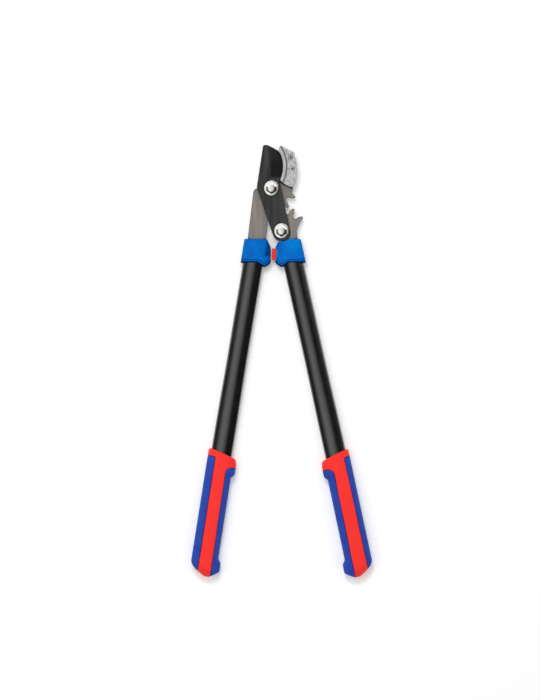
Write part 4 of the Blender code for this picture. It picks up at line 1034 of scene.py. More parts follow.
@dataclass
class BladeLever:
    """The coated blade and its tail, with a ground bevel on both faces."""

    layout: Layout
    palette: Palette
    edge_round: float = 0.6 * MM
    # Width of the painted shade along the blade's outline, laid through the rim attribute.
    edge_band: float = 1.0 * MM
    tip_y: float = 71.0 * MM
    tip_width: float = 7.5 * MM
    spine_tip_x: float = -13.8 * MM
    spine_kink: Corner = (-24.3 * MM, 1.2 * MM, 16.0 * MM)
    heel: Corner = (15.4 * MM, 2.0 * MM, 10.0 * MM)
    tail_radius: float = 14.5 * MM
    tail_shift: Pair = (-0.4 * MM, -2.4 * MM)
    bevel_line_x: float = -1.0 * MM
    bevel_heel_y: float = 19.1 * MM
    edge_thickness: float = 0.6 * MM
    # Width of the painted shade along the cutting edge.
    dark_edge: float = 2.4 * MM
    # Where the painted highlight on the bevel begins, towards the tip.
    worn_from: float = 47.0 * MM
    bolt_shade: float = 13.2 * MM
    far_centre: float = 1.0
    rows: int = 36
    bevel_margins: Pair = (2.0 * MM, 4.0 * MM)
    least_bevel: float = 6.0 * MM
    ground_slopes: Pair = (0.5, 0.9995)
    heel_foot: Corner = (-2.4 * MM, -5.0 * MM, 3.0 * MM)
    edge_tip: Corner = (-3.4 * MM, 3.8 * MM, 3.0 * MM)
    tip_rounds: Pair = (6.0 * MM, 3.0 * MM)

    def build(self) -> None:
        """Makes the lever; faces that the grinding left get the darker finish."""
        at = self.layout
        top = at.blade_z + at.plate_thickness
        blank = Maker.plate(self.outline(), at.blade_z, top, self.edge_round, band=self.edge_band)
        steps = [(self.grinding(1), "DIFFERENCE"), (self.grinding(-1), "DIFFERENCE")]
        for pivot in (Vector((0, 0)), at.link):
            bore = Maker.cylinder(pivot, at.bore_radius, 0, at.flange_z + BEYOND)
            steps.append((bore, "DIFFERENCE"))
        mesh = Maker.carved(blank, *steps)
        while len(mesh.materials) < 2:
            mesh.materials.append(None)
        steep, flat = self.ground_slopes
        for face in mesh.polygons:
            sloping = steep < abs(face.normal.z) < flat
            face.material_index = int(sloping and face.center.y > self.bevel_heel_y - MM)
        centre = (at.edge_centre.x, at.edge_centre.y)
        near = at.edge_radius - at.edge_gap - self.dark_edge
        # Painted shade: a near-black strip along the cutting edge.
        edge = Band(centre, near, at.edge_radius + MM, 0.6 * MM, (0.0006, 0.0006, 0.0006), 0.85)
        # Painted highlight: the bevel turns paler towards the tip.
        painted_highlight = Band(centre, -MM, near, 6 * MM, (0.016, 0.016, 0.016), 0.7, low=self.worn_from)
        ground = replace(self.palette.ground, bands=(painted_highlight, edge))
        coating = replace(self.palette.coating, bands=self.shades())
        finishes = (coating, ground)
        publish("blade_plate", mesh, "blade", "blade_coating", ["blade_lever"], *finishes, angle=5.0)

    def shades(self) -> tuple[Band, ...]:
        """Painted shade in the coating: a darker strip beside the bevel, and painted shadow under its heel and
        round both bolts.
        """
        black = (0.003, 0.003, 0.003)
        far, line, heel = self.far_centre, self.bevel_line_x, self.bevel_heel_y
        at = (-far, heel)
        side = Band(at, far + line - 2.6 * MM, far + 1.0, 1.6 * MM, (0.009, 0.009, 0.009), 0.8, low=heel)
        under = heel - 2.2 * MM
        below = Band(at, far + line - 2.2 * MM, far + 1.0, 0.7 * MM, black, 0.85, low=under, high=heel)
        pivots = [(0.0, 0.0), tuple(self.layout.link)]
        rings = [Band(pivot, -MM, self.bolt_shade, 0.5 * MM, black, 0.75) for pivot in pivots]
        return (side, below, *rings)

    @staticmethod
    def tangent(outside: Sequence[float], centre: Vector, radius: float, side: int) -> Vector:
        """Where the line from a point outside a circle touches it."""
        away = Vector(outside) - centre
        turn = math.atan2(away.y, away.x) + side * math.acos(radius / away.length)
        return radius * Vector((math.cos(turn), math.sin(turn)))

    def outline(self) -> list[Vector]:
        """Outline of blade and tail."""
        at = self.layout
        end = at.link + Vector(self.tail_shift)
        left = self.tangent(self.spine_kink[:2], end, self.tail_radius, 1)
        right = self.tangent(self.heel[:2], end, self.tail_radius, -1)
        start = math.atan2(left.y, left.x) % (2 * math.pi)
        stop = math.atan2(right.y, right.x) + 2 * math.pi
        corners = Outline.sharp(Outline.arc(end, self.tail_radius, start, stop))
        edge_end = (at.edge_x(at.edge_top, at.edge_radius), at.edge_top)
        corners += [
            self.heel,
            Outline.corner_from((self.heel[0], at.edge_bottom), self.heel_foot),
            *Outline.sharp(at.edge_arc(at.edge_radius - at.edge_gap, at.edge_bottom, at.edge_top)),
            Outline.corner_from(edge_end, self.edge_tip),
            (self.spine_tip_x + self.tip_width, self.tip_y, self.tip_rounds[0]),
            (self.spine_tip_x, self.tip_y, self.tip_rounds[1]),
            self.spine_kink,
        ]
        return Outline.rounded(corners)

    def grinding(self, up: int) -> Mesh:
        """What the wheel takes off one face, from the bevel line out to the edge."""
        at = self.layout
        face = at.blade_mid_z + up * at.plate_thickness / 2
        edge = at.blade_mid_z + up * self.edge_thickness / 2
        beyond = face + up * BEYOND
        before, after = self.bevel_margins
        rings: list[Ring] = []
        for level in spread(self.bevel_heel_y, self.tip_y + MM, self.rows):
            out = at.edge_x(level, at.edge_radius - at.edge_gap)
            start = min(self.bevel_line_x, out - self.least_bevel)
            slope = (edge - face) / (out - start)
            low, high = start - before, out + after
            ring = [(low, face - slope * before), (high, edge + slope * after), (high, beyond), (low, beyond)]
            rings.append([(x, level, z) for x, z in ring])
        return Maker.loft(rings)


@dataclass
class Anvil:
    """The cast anvil and its two screws."""

    layout: Layout
    palette: Palette
    depth: float = 14.0 * MM
    width: float = 22.5 * MM
    lip: float = 5.8 * MM
    round_over: float = 0.9 * MM
    bottom_y: float = 1.8 * MM
    top_y: float = 69.5 * MM
    shoulder_y: float = 59.0 * MM
    back_radius: float = 75.0 * MM
    back_level: float = 30.0 * MM
    back_margins: Pair = (4.5 * MM, 8.0 * MM)
    back_steps: int = 24
    toe: Corner = (0.6 * MM, -2.2 * MM, 1.0 * MM)
    instep: Corner = (6.0 * MM, 5.4 * MM, 6.0 * MM)
    brow: Corner = (4.5 * MM, -3.8 * MM, 4.0 * MM)
    lip_end: Corner = (1.8 * MM, -0.8 * MM, 1.2 * MM)
    pocket_wall: float = 7.0 * MM
    pocket_top: float = 60.3 * MM
    pocket_sill: float = 1.5 * MM
    groove_margin: float = 4.0 * MM
    mouth: float = 0.35 * MM
    groove_width: float = 2.0 * MM
    groove_depth: float = 1.6 * MM
    screw_levels: Pair = (50.5 * MM, 31.5 * MM)
    screw_setback: float = 14.6 * MM
    screw_radius: float = 2.5 * MM
    head_radius: float = 4.2 * MM
    head_height: float = 2.6 * MM
    head_fit: float = 0.12 * MM
    recess: float = 0.5 * MM
    screw_steps: int = 48
    socket_radius: float = 1.6 * MM
    socket_depth: float = 1.4 * MM
    socket_shade: float = 1.7 * MM
    crown: tuple[Pair, ...] = (
        (0.0, 0.9 * MM), (0.25 * MM, 0.4 * MM), (0.8 * MM, 0.08 * MM), (1.4 * MM, 0.0)
    )

    @property
    def top_z(self) -> float:
        """Height of the front face."""
        return self.layout.blade_mid_z + self.depth / 2

    def spots(self) -> list[Pair]:
        """Places of the screws."""
        at = self.layout
        return [(at.edge_x(y, at.edge_radius) + self.screw_setback, y) for y in self.screw_levels]

    def outline(self) -> list[Vector]:
        """Outline of the casting."""
        at = self.layout
        contact_top = self.top_y - 7 * MM
        lip_top = at.edge_x(contact_top, at.edge_radius)
        foot = at.edge_x(at.edge_bottom, at.edge_radius)
        reach = at.edge_reach
        corners = Outline.sharp(reversed(at.edge_arc(at.edge_radius, at.edge_bottom, contact_top)))
        corners += [
            Outline.corner_from((foot, at.edge_bottom), self.toe),
            Outline.corner_from((foot, self.bottom_y), self.instep),
            (reach + 0.42 * self.width, self.bottom_y + 0.6 * MM, 5 * MM),
            (reach + 0.7 * self.width, self.bottom_y, 3 * MM),
        ]
        centre = (reach + self.width - self.back_radius, self.back_level)
        below, above = self.back_margins
        start = math.asin((self.bottom_y + below - centre[1]) / self.back_radius)
        end = math.asin((self.shoulder_y - above - centre[1]) / self.back_radius)
        corners += [
            *Outline.sharp(Outline.arc(centre, self.back_radius, start, end, self.back_steps)),
            (reach + 0.78 * self.width, self.shoulder_y, 3 * MM),
            Outline.corner_from((lip_top + self.lip, self.top_y), self.brow),
            (lip_top + self.lip, self.top_y, 2 * MM),
            Outline.corner_from((lip_top, self.top_y), self.lip_end),
        ]
        return Outline.rounded(corners)

    def build(self) -> None:
        """Makes the casting and the screws."""
        at = self.layout
        low_z = at.blade_mid_z - self.depth / 2
        # The rim attribute paints shade along the casting's rounded edges.
        blank = Maker.plate(self.outline(), low_z, self.top_z, self.round_over, 4)
        above = self.top_z + BEYOND
        wall = at.edge_radius + self.pocket_wall
        far = at.edge_reach + 2 * self.width
        top, sill = self.pocket_top, at.edge_bottom + self.pocket_sill
        pocket = at.edge_arc(wall, sill, top)
        pocket += [Vector(p) for p in ((far, top), (far, -sill), (0, -sill), (0, sill))]
        cutters = [Maker.prism(pocket, low_z - BEYOND, at.arm_z + at.plate_thickness + at.gap)]
        middle = at.edge_radius + self.lip
        span = (at.edge_bottom + self.groove_margin, self.top_y - self.groove_margin)
        inside = at.edge_arc(middle - self.groove_width / 2, *span)
        outside = at.edge_arc(middle + self.groove_width / 2, *span)
        cutters.append(Maker.prism(inside + outside[::-1], self.top_z - self.groove_depth, above))
        seat = self.top_z - self.recess - self.head_height - at.gap
        shank, head = self.screw_radius + at.gap, self.head_radius + self.head_fit
        hole = [(shank, 0), (shank, seat), (head, seat), (head, self.top_z - self.mouth)]
        hole.append((self.head_radius + at.gap, above))
        cutters += [Maker.turned(hole, spot, self.screw_steps) for spot in self.spots()]
        mesh = Maker.carved(blank, *((cutter, "DIFFERENCE") for cutter in cutters))
        casting = replace(self.palette.casting, bands=self.bands())
        publish("anvil_body", mesh, "left_handle", "anvil_alloy", ["anvil"], casting)
        self.build_screws()

    def bands(self) -> tuple[Band, ...]:
        """The paler lip along the contact edge, and painted shade in the groove beside it."""
        at = self.layout
        centre = (at.edge_centre.x, at.edge_centre.y)
        groove = at.edge_radius + self.lip
        half = self.groove_width / 2
        wide = half + 0.3 * MM
        lip = Band(centre, at.edge_radius + 1.0 * MM, groove - half, 0.5 * MM, (0.47, 0.47, 0.47), 0.7, 0.4)
        # Painted shade in the groove.
        dark = Band(centre, groove - wide, groove + wide, 0.45 * MM, (0.06, 0.06, 0.06), 0.9, 0.4)
        return (lip, dark)

    def build_screws(self) -> None:
        """Makes both screws as copies set on their two places."""
        head_top = self.top_z - self.recess
        profile = [
            (self.screw_radius, self.layout.arm_z),
            (self.screw_radius, head_top - self.head_height),
            (self.head_radius, head_top - self.head_height),
            *((self.head_radius - inset, head_top - drop) for inset, drop in self.crown),
        ]
        socket = Maker.cylinder((0, 0), self.socket_radius, head_top - self.socket_depth, head_top + MM, 6)
        screw = Maker.carved(Maker.turned(profile, (0, 0), self.screw_steps), (socket, "DIFFERENCE"))
        # Painted shade: a dark spot round each screw's socket.
        shade = (-MM, self.socket_shade, 0.25 * MM, (0.02, 0.02, 0.02), 0.95)
        sockets = tuple(Band(spot, *shade) for spot in self.spots())
        finish = replace(self.palette.zinc, name="screw_plate", colour=(0.86, 0.86, 0.85), bands=sockets)
        mesh = Pattern.on_points(screw, [(x, y, 0.0) for x, y in self.spots()], finish)
        nodes = ["anvil_screw_upper", "anvil_screw_lower"]
        publish("anvil_screws", mesh, "left_handle", "zinc_steel", nodes, finish)


class Pattern:
    """Geometry node trees for pieces that repeat or follow a rule."""

    MERGE_DISTANCE = 0.01 * MM

    @staticmethod
    def _tree(name: str, inputs: Sequence[tuple[str, str]]) -> Nodes:
        """A new tree with its inputs after the geometry."""
        tree = bpy.data.node_groups.new(name, "GeometryNodeTree")
        tree.interface.new_socket("Geometry", in_out="INPUT", socket_type="NodeSocketGeometry")
        for label, kind in inputs:
            tree.interface.new_socket(label, in_out="INPUT", socket_type=kind)
        tree.interface.new_socket("Geometry", in_out="OUTPUT", socket_type="NodeSocketGeometry")
        return Nodes(tree)

    @staticmethod
    def _run(
        mesh: Mesh, tree: Tree, values: dict[str, object], *helpers: bpy.types.Object
    ) -> Mesh:
        """The mesh that a tree makes from another, with its inputs set by their identifiers."""
        carrier = placed("carrier", mesh)
        modifier = carrier.modifiers.new("pattern", "NODES")
        modifier.node_group = tree
        for item in tree.interface.items_tree:
            if item.item_type == "SOCKET" and item.in_out == "INPUT" and item.name in values:
                modifier[item.identifier] = values[item.name]
        return Maker.baked(carrier, *helpers)

    @staticmethod
    def _dress(at: Nodes, geometry: Socket, finish: Socket) -> None:
        """Ends a tree: instances made real, then the finish."""
        real = at.wired("GeometryNodeRealizeInstances", {"Geometry": geometry}).outputs["Geometry"]
        dressed = at.wired("GeometryNodeSetMaterial", {"Geometry": real, "Material": finish})
        at.wired("NodeGroupOutput", {"Geometry": dressed.outputs["Geometry"]})

    @classmethod
    def on_points(cls, mesh: Mesh, spots: Sequence[Corner], finish: Finish) -> Mesh:
        """Copies of a mesh set on points.

        Args:
            mesh: What is repeated, about the origin.
            spots: Where the copies go.
            finish: Finish of the copies.

        Returns:
            One mesh with every copy.
        """
        template = placed("template", mesh)
        points = bpy.data.meshes.new("spots")
        points.from_pydata(list(spots), [], [])
        inputs = [("Template", "NodeSocketObject"), ("Finish", "NodeSocketMaterial")]
        at = cls._tree("Copies on points", inputs)
        source = at.add("NodeGroupInput").outputs
        info = at.wired("GeometryNodeObjectInfo", {"As Instance": True, "Object": source["Template"]})
        inputs = {"Points": source["Geometry"], "Instance": info.outputs["Geometry"]}
        copies = at.wired("GeometryNodeInstanceOnPoints", inputs)
        cls._dress(at, copies.outputs["Instances"], source["Finish"])
        return cls._run(points, at.tree, {"Template": template, "Finish": finish.material()}, template)

    @classmethod
    def oval_tube(
        cls, values: dict[str, float], finish: Finish, around: int = 96, stations: int = 60
    ) -> Mesh:
        """Skin of a rounded oval tube that widens along its length.

        Args:
            values: Top Half Width, Top Half Depth, Low Half Width, Low Half Depth, Top, Flare Start,
                Flare End, End and Height, in metres, and Squareness.
            finish: Finish of the tube.
            around: Facets round the tube.
            stations: Rings along it.

        Returns:
            The open skin about the handle's axis.
        """
        names = list(values)
        inputs = [(name, "NodeSocketFloat") for name in names] + [("Finish", "NodeSocketMaterial")]
        at = cls._tree("Oval tube", inputs)
        source = at.add("NodeGroupInput").outputs
        size = {name: source[name] for name in names}
        inputs = {"Size X": 1.0, "Size Y": 1.0, "Vertices X": stations, "Vertices Y": around + 1}
        grid = at.wired("GeometryNodeMeshGrid", inputs)
        place = at.parts(at.add("GeometryNodeInputPosition").outputs[0])
        share = at.maths("ADD", place["X"], 0.5)
        turn = at.maths("MULTIPLY", at.maths("ADD", place["Y"], 0.5), 2 * math.pi)
        along = at.maths("MULTIPLY_ADD", share, at.maths("SUBTRACT", size["End"], size["Top"]), size["Top"])
        flare = at.ramp(along, size["Flare Start"], size["Flare End"])

        def side(letter: str, trig: str) -> Socket:
            """One coordinate of the rounded oval."""
            top, low = size[f"Top Half {letter}"], size[f"Low Half {letter}"]
            half = at.maths("MULTIPLY_ADD", flare, at.maths("SUBTRACT", low, top), top)
            value = at.maths(trig, turn)
            exponent = at.maths("DIVIDE", 2.0, size["Squareness"])
            power = at.maths("POWER", at.maths("ABSOLUTE", value), exponent)
            return at.maths("MULTIPLY", at.maths("MULTIPLY", power, at.maths("SIGN", value)), half)

        height = at.maths("ADD", side("Depth", "SINE"), size["Height"])
        joined = at.wired("ShaderNodeCombineXYZ", {"X": side("Width", "COSINE"), "Y": along, "Z": height})
        inputs = {"Geometry": grid.outputs["Mesh"], "Position": joined.outputs[0]}
        moved = at.wired("GeometryNodeSetPosition", inputs)
        inputs = {"Geometry": moved.outputs["Geometry"], "Distance": cls.MERGE_DISTANCE}
        merged = at.wired("GeometryNodeMergeByDistance", inputs)
        cls._dress(at, merged.outputs["Geometry"], source["Finish"])
        return cls._run(bpy.data.meshes.new("seed"), at.tree, {**values, "Finish": finish.material()})


@dataclass
class PivotHardware:
    """Flanged bolt, spacer, rear washer and lock nut of one pivot."""

    layout: Layout
    palette: Palette
    prefix: str
    body: str
    centre: Vector
    flange_radius: float = 12.2 * MM
    flange_thickness: float = 2.6 * MM
    rim_height: float = 1.9 * MM
    head_height: float = 6.0 * MM
    head_flats: float = 17.4 * MM
    head_flat_radius: float = 6.3 * MM
    head_slope: float = 0.62
    nut_flats: float = 17.0 * MM
    nut_z: float = 2.4 * MM
    nut_height: float = 8.0 * MM
    washer_z: float = 10.7 * MM
    spacer_size: Pair = (13.0 * MM, 1.0 * MM)
    washer_size: Pair = (11.0 * MM, 1.5 * MM)
    broken_edge: float = 0.2 * MM
    bolt_chamfer: float = 0.8 * MM
    foot_share: float = 0.93
    rim_rounding: tuple[Pair, ...] = ((0.0, 0.3 * MM), (0.12 * MM, 0.1 * MM), (0.35 * MM, 0.0))
    crown_edge: tuple[Pair, ...] = ((0.3 * MM, 0.36 * MM), (0.0, 0.22 * MM))
    crown_top: tuple[Pair, ...] = ((0.6, 0.06 * MM), (0.2, 0.0))
    nut_collar: float = 2.0 * MM
    nut_collar_share: float = 0.46

    def build(self) -> None:
        """Makes the four pieces."""
        at = self.layout
        head_top = at.flange_z + self.flange_thickness + self.head_height
        circle = self.head_flats / math.sqrt(3)
        rim = at.flange_z + self.rim_height
        profile = [
            (at.bolt_radius - self.bolt_chamfer, 0.0),
            (at.bolt_radius, self.bolt_chamfer),
            (at.bolt_radius, at.flange_z),
            (self.flange_radius - 0.2 * MM, at.flange_z),
            (self.flange_radius, at.flange_z + 0.25 * MM),
            *((self.flange_radius - inset, rim - drop) for inset, drop in self.rim_rounding),
            (self.foot_share * circle, rim),
        ]
        wide, flat = circle + 2 * MM, self.head_flat_radius
        shoulder = head_top - self.head_slope * (wide - flat)
        crown = [(wide, at.flange_z), (wide, shoulder)]
        crown += [(flat + out, head_top - drop) for out, drop in self.crown_edge]
        crown += [(share * flat, head_top - drop) for share, drop in self.crown_top]
        head = Maker.hexagon(self.centre, self.head_flats, at.flange_z + self.rim_height / 2, head_top + MM)
        head = Maker.carved(head, (Maker.turned(crown, self.centre), "INTERSECT"))
        bolt = Maker.carved(Maker.turned(profile, self.centre), (head, "UNION"))
        self._publish("bolt", bolt, "bright_steel", self.palette.bright)
        self._ring("spacer", at.spacer_z, *self.spacer_size)
        self._ring("washer", self.washer_z, *self.washer_size)
        collar_top = self.nut_z + self.nut_collar
        nut = Maker.hexagon(self.centre, self.nut_flats, collar_top, self.nut_z + self.nut_height)
        radius = self.nut_collar_share * self.nut_flats
        skirt = [(radius - 0.6 * MM, self.nut_z), (radius, self.nut_z + 0.5 * MM), (radius, collar_top + MM)]
        nut = Maker.carved(nut, (Maker.turned(skirt, self.centre), "UNION"), (self._bore(), "DIFFERENCE"))
        self._publish("nut", nut, "zinc_steel", self.palette.zinc)

    def _bore(self) -> Mesh:
        """Cutter for the hole round the bolt."""
        return Maker.cylinder(self.centre, self.layout.bore_radius, 0, 40 * MM)

    def _ring(self, label: str, low: float, radius: float, thickness: float) -> None:
        """A washer or a spacer with broken edges."""
        edge = self.broken_edge
        profile = [(radius - edge, low), (radius, low + edge), (radius, low + thickness - edge)]
        profile.append((radius - edge, low + thickness))
        ring = Maker.carved(Maker.turned(profile, self.centre), (self._bore(), "DIFFERENCE"))
        self._publish(label, ring, "zinc_steel", self.palette.zinc)

    def _publish(self, label: str, mesh: Mesh, slot: str, finish: Finish) -> None:
        """Puts one piece of the pivot in the scene."""
        node = f"{self.prefix}_{label}"
        publish(f"{node}_turned", mesh, self.body, slot, [node], finish, angle=28.0)


@dataclass
class Handle:
    """One handle: collar, tube, rivets and grip."""

    layout: Layout
    palette: Palette
    side: Side
    tube_half_width: float = 16.6 * MM
    tube_half_depth: float = 10.2 * MM
    tube_low_half_width: float = 17.5 * MM
    tube_low_half_depth: float = 9.6 * MM
    tube_wall: float = 1.6 * MM
    tube_top: float = 5.0 * MM
    tube_squareness: float = 2.3
    flare_length: float = 150.0 * MM
    flare_margin: float = 18.0 * MM
    grip_length: float = 209.5 * MM
    tube_end_margin: float = 22.0 * MM
    collar_half_width: float = 20.5 * MM
    collar_half_depth: float = 13.0 * MM
    collar_drop: float = 22.9 * MM
    shoulder_round: float = 3.0 * MM
    heel_round: float = 1.5 * MM
    collar_dip: Corner = (2.5 * MM, 0.0, 12.0 * MM)
    collar_toe: Corner = (-10.6 * MM, -7.8 * MM, 5.0 * MM)
    toe_tip: Corner = (-1.6 * MM, -2.0 * MM, 2.0 * MM)
    stop_foot: Corner = (0.0, 2.5 * MM, 2.0 * MM)
    stop_crest: Corner = (0.0, 2.5 * MM, 4.0 * MM)
    throat_share: float = 0.3
    collar_throat: float = 16.0 * MM
    narrow_throat: float = 13.2 * MM
    collar_round: float = 5.0 * MM
    bumper_face_x: float = 0.6 * MM
    bumper_proud: float = 5.8 * MM
    bumper_seat: float = 1.6 * MM
    bumper_height: float = 19.0 * MM
    bumper_depth: float = 15.0 * MM
    bumper_drop: float = 8.5 * MM
    bumper_round: float = 1.6 * MM
    stop_clearance: float = 1.8 * MM
    groove_reach: float = 5.2 * MM
    groove_width: float = 0.8 * MM
    groove_depth: float = 0.7 * MM
    lip_reach: float = 3.5 * MM
    lip_width: float = 0.8 * MM
    lip_height: float = 0.35 * MM
    # Painted shade on the collars, laid through the rim attribute: along the lower edge, in the groove, along
    # the other edges and on the left collar's facet.
    dark_lip: float = 2.1 * MM
    shaded_edge: float = 1.2 * MM
    outline_edge: float = 1.3 * MM
    facet_start: float = 13.0 * MM
    facet_width: float = 8.0 * MM
    facet_low: float = -115.0 * MM
    facet_fade: float = 5.0 * MM
    dark_facet_start: float = 16.5 * MM
    dark_facet_fade: float = 2.5 * MM
    dark_facet: float = 0.7
    left_facet_drop: float = 4.6 * MM
    right_facet_drop: float = 2.4 * MM
    left_grip_start: float = 335.4 * MM
    right_grip_start: float = 341.6 * MM
    dome_share: float = 0.16
    dome_power: float = 2.2
    front_start: float = 0.3
    dark_groove: float = 0.7
    dark_outline: float = 0.45
    boss_drop: float = 1.6 * MM
    voxel: float = 0.6 * MM
    collar_steps: int = 8
    slot_length: float = 60.0 * MM
    link_relief: float = 17.6 * MM
    link_relief_top: float = 45.0 * MM
    # A painted highlight across the right collar's middle.
    sheen: Band = Band((34 * MM, -89 * MM), -MM, 13 * MM, 8 * MM, (0.0, 0.215, 0.64), 0.75)

    @property
    def grip_start(self) -> float:
        """Distance from the head point down to the grip."""
        return self.left_grip_start if self.side is Side.LEFT else self.right_grip_start

    def build(self) -> None:
        """Makes the handle's pieces."""
        self.build_tube()
        self.build_collar()
        if self.side is Side.RIGHT:
            self.build_bumper()
        Grip(self).build()
        for place in ("upper", "lower"):
            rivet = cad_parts[f"{self.side.word}_rivet_{place}"]
            rivet.data.materials.clear()
            rivet.data.materials.append(self.palette.zinc.material())

    def build_tube(self) -> None:
        """Makes the tube's skin by its rule, then gives it its wall."""
        end = self.grip_start + self.grip_length - self.tube_end_margin
        flare_end = -(self.grip_start - self.flare_margin)
        values = {
            "Top Half Width": self.tube_half_width,
            "Top Half Depth": self.tube_half_depth,
            "Low Half Width": self.tube_low_half_width,
            "Low Half Depth": self.tube_low_half_depth,
            "Top": self.tube_top,
            "Flare Start": flare_end + self.flare_length,
            "Flare End": flare_end,
            "End": -end,
            "Squareness": self.tube_squareness,
            "Height": self.layout.handle_z,
        }
        skin = Pattern.oval_tube(values, self.palette.paint)
        bm = bmesh.new()
        bm.from_mesh(skin)
        if outwardness(bm, self.layout.handle_z) < 0:
            bmesh.ops.reverse_faces(bm, faces=bm.faces)
        bm.to_mesh(skin)
        bm.free()
        carrier = placed("tube", skin)
        wall = carrier.modifiers.new("wall", "SOLIDIFY")
        wall.thickness = self.tube_wall
        wall.offset = -1.0
        mesh = Maker.baked(carrier)
        mesh.transform(self.layout.matrix(self.side))
        self.put("tube", "drawn", mesh, "tube_paint", self.palette.paint)

    def put(
        self, label: str, make: str, mesh: Mesh, slot: str, finish: Finish, angle: float = SHARP_ANGLE
    ) -> None:
        """Puts one of the handle's pieces in the scene, for the solid that has its label."""
        node = f"{self.side.word}_{label}"
        publish(f"{node}_{make}", mesh, self.side.body, slot, [node], finish, angle=angle)

    def collar_corners(self) -> list[Corner]:
        """Corners of the collar's outline."""
        at = self.layout
        sign = self.side.value
        face = self.bumper_face_x + (-self.stop_clearance if self.side is Side.LEFT else self.bumper_proud)
        low = at.head_y - self.collar_drop
        head = at.axes(self.side)[0]
        half = self.collar_half_width
        throat = self.collar_throat if self.side is Side.LEFT else self.narrow_throat

        def inwards(x: float, y: float, corner: Corner) -> Corner:
            """A corner given as (towards the other handle, up, radius) from a point."""
            return (x + sign * corner[0], y + corner[1], corner[2])

        return [
            (*at.at_level(self.side, -half, at.collar_top_y), self.shoulder_round),
            (*at.at_level(self.side, -half, low), self.heel_round),
            inwards(head.x, low, self.collar_dip),
            inwards(face, low, self.collar_toe),
            inwards(face, low, self.toe_tip),
            inwards(face, low, self.stop_foot),
            inwards(face, at.head_y, self.stop_crest),
            (*at.at_level(self.side, throat, at.collar_top_y), self.throat_share * throat),
        ]

    def build_collar(self) -> None:
        """Makes the collar: a moulded block, softened, with a bead above its skirt and a lower boss."""
        at = self.layout
        corners = self.collar_corners()
        rings: list[Ring] = []
        for up in (1, -1):
            end = at.handle_z - up * self.collar_half_depth
            for inset, drop, _ in Outline.quarter(self.collar_round, self.collar_steps)[::up]:
                drawn = Outline.rounded(Outline.drawn_in(corners, inset))
                rings.append([(p.x, p.y, end + up * drop) for p in drawn])
        block = placed("block", Maker.loft(rings))
        cells = block.modifiers.new("cells", "REMESH")
        cells.mode = "VOXEL"
        cells.voxel_size = self.voxel
        soft = block.modifiers.new("soft", "SMOOTH")
        soft.factor = 0.5
        soft.iterations = 4
        mesh = Maker.baked(block)
        self.shape_collar(mesh, [Vector(c[:2]) for c in corners])
        wide, deep = self.tube_half_width + at.gap, self.tube_half_depth + at.gap
        levels = (self.tube_top + at.gap, -3 * self.collar_drop)
        bore = Maker.loft([[self.oval(turn, wide, deep, y) for turn in self.turns()] for y in levels])
        half, thick = at.tang_width / 2 + at.gap, at.plate_thickness / 2 + at.gap
        slot = [(-half, 0), (half, 0), (half, self.slot_length), (-half, self.slot_length)]
        cutters = [bore, Maker.prism(slot, at.handle_z - thick, at.handle_z + thick)]
        for cutter in cutters:
            cutter.transform(at.matrix(self.side))
        finish = self.palette.blue
        if self.side is Side.RIGHT:
            cutters.append(Maker.cylinder(at.link, self.link_relief, 0, self.link_relief_top))
            cutters.append(Maker.prism(*self.bumper_outline(at.gap)))
            # The right collar gets a painted highlight.
            finish = replace(finish, name="collar_plastic_lit", bands=(self.sheen,))
        mesh = Maker.carved(mesh, *((cutter, "DIFFERENCE") for cutter in cutters))
        self.put("collar", "moulding", mesh, "blue_plastic", finish, angle=40.0)

    @property
    def facet_drop(self) -> float:
        """How far the collar's face slopes back beside the other handle."""
        return self.left_facet_drop if self.side is Side.LEFT else self.right_facet_drop

    def shape_collar(self, mesh: Mesh, corners: Sequence[Vector]) -> None:
        """Moves the collar's points: a domed front, a sloping facet, a groove and a lip above the lower edge,
        and paints shade through the rim attribute.

        Args:
            mesh: The softened block.
            corners: Corners of the outline, of which the second to the sixth bound the lower edge.
        """
        at = self.layout
        head, _, inward = at.axes(self.side)
        lower = list(zip(corners[1:5], corners[2:6]))
        others = list(zip([*corners[5:], corners[0]], [*corners[6:], corners[0], corners[1]]))
        rim = mesh.attributes.get(Maker.RIM) or mesh.attributes.new(Maker.RIM, "FLOAT", "POINT")
        for vert in mesh.vertices:
            here = Vector(vert.co[:2])
            across = (here - head).dot(inward)
            height = vert.co.z - at.handle_z
            share = abs(height) / self.collar_half_depth
            beside = min(1.0, abs(across) / self.collar_half_width)
            dome = self.dome_share * beside**self.dome_power * self.collar_half_depth
            slope = smooth((across - self.facet_start) / self.facet_width)
            above = smooth((here.y - self.facet_low) / self.facet_fade)
            facet = slope * (self.boss_drop + (self.facet_drop - self.boss_drop) * above)
            away = min(distance_to(here, a, b) for a, b in lower)
            near = min(distance_to(here, a, b) for a, b in others)
            groove = math.exp(-(((away - self.groove_reach) / self.groove_width) ** 2))
            lip = math.exp(-(((away - self.lip_reach) / self.lip_width) ** 2))
            front = smooth((share - self.front_start) / self.front_start)
            moved = front * (self.lip_height * lip - self.groove_depth * groove) - share * (dome + facet)
            vert.co.z += math.copysign(moved, height) if moved >= 0 else -math.copysign(moved, height)
            # Painted shade: the lower edge, the groove, the other edges and the left collar's facet, which
            # faces away from the light.
            shaded = 1 - smooth((away - self.dark_lip) / self.shaded_edge)
            outlined = self.dark_outline * (1 - smooth(near / self.outline_edge))
            dark = 0.0
            if self.side is Side.LEFT:
                dark = self.dark_facet * above * smooth((across - self.dark_facet_start) / self.dark_facet_fade)
            rim.data[vert.index].value = front * max(shaded, self.dark_groove * groove, outlined, dark)

    @staticmethod
    def turns(count: int = 72) -> list[float]:
        """Angles round an oval."""
        return [2 * math.pi * (i + 0.5) / count for i in range(count)]

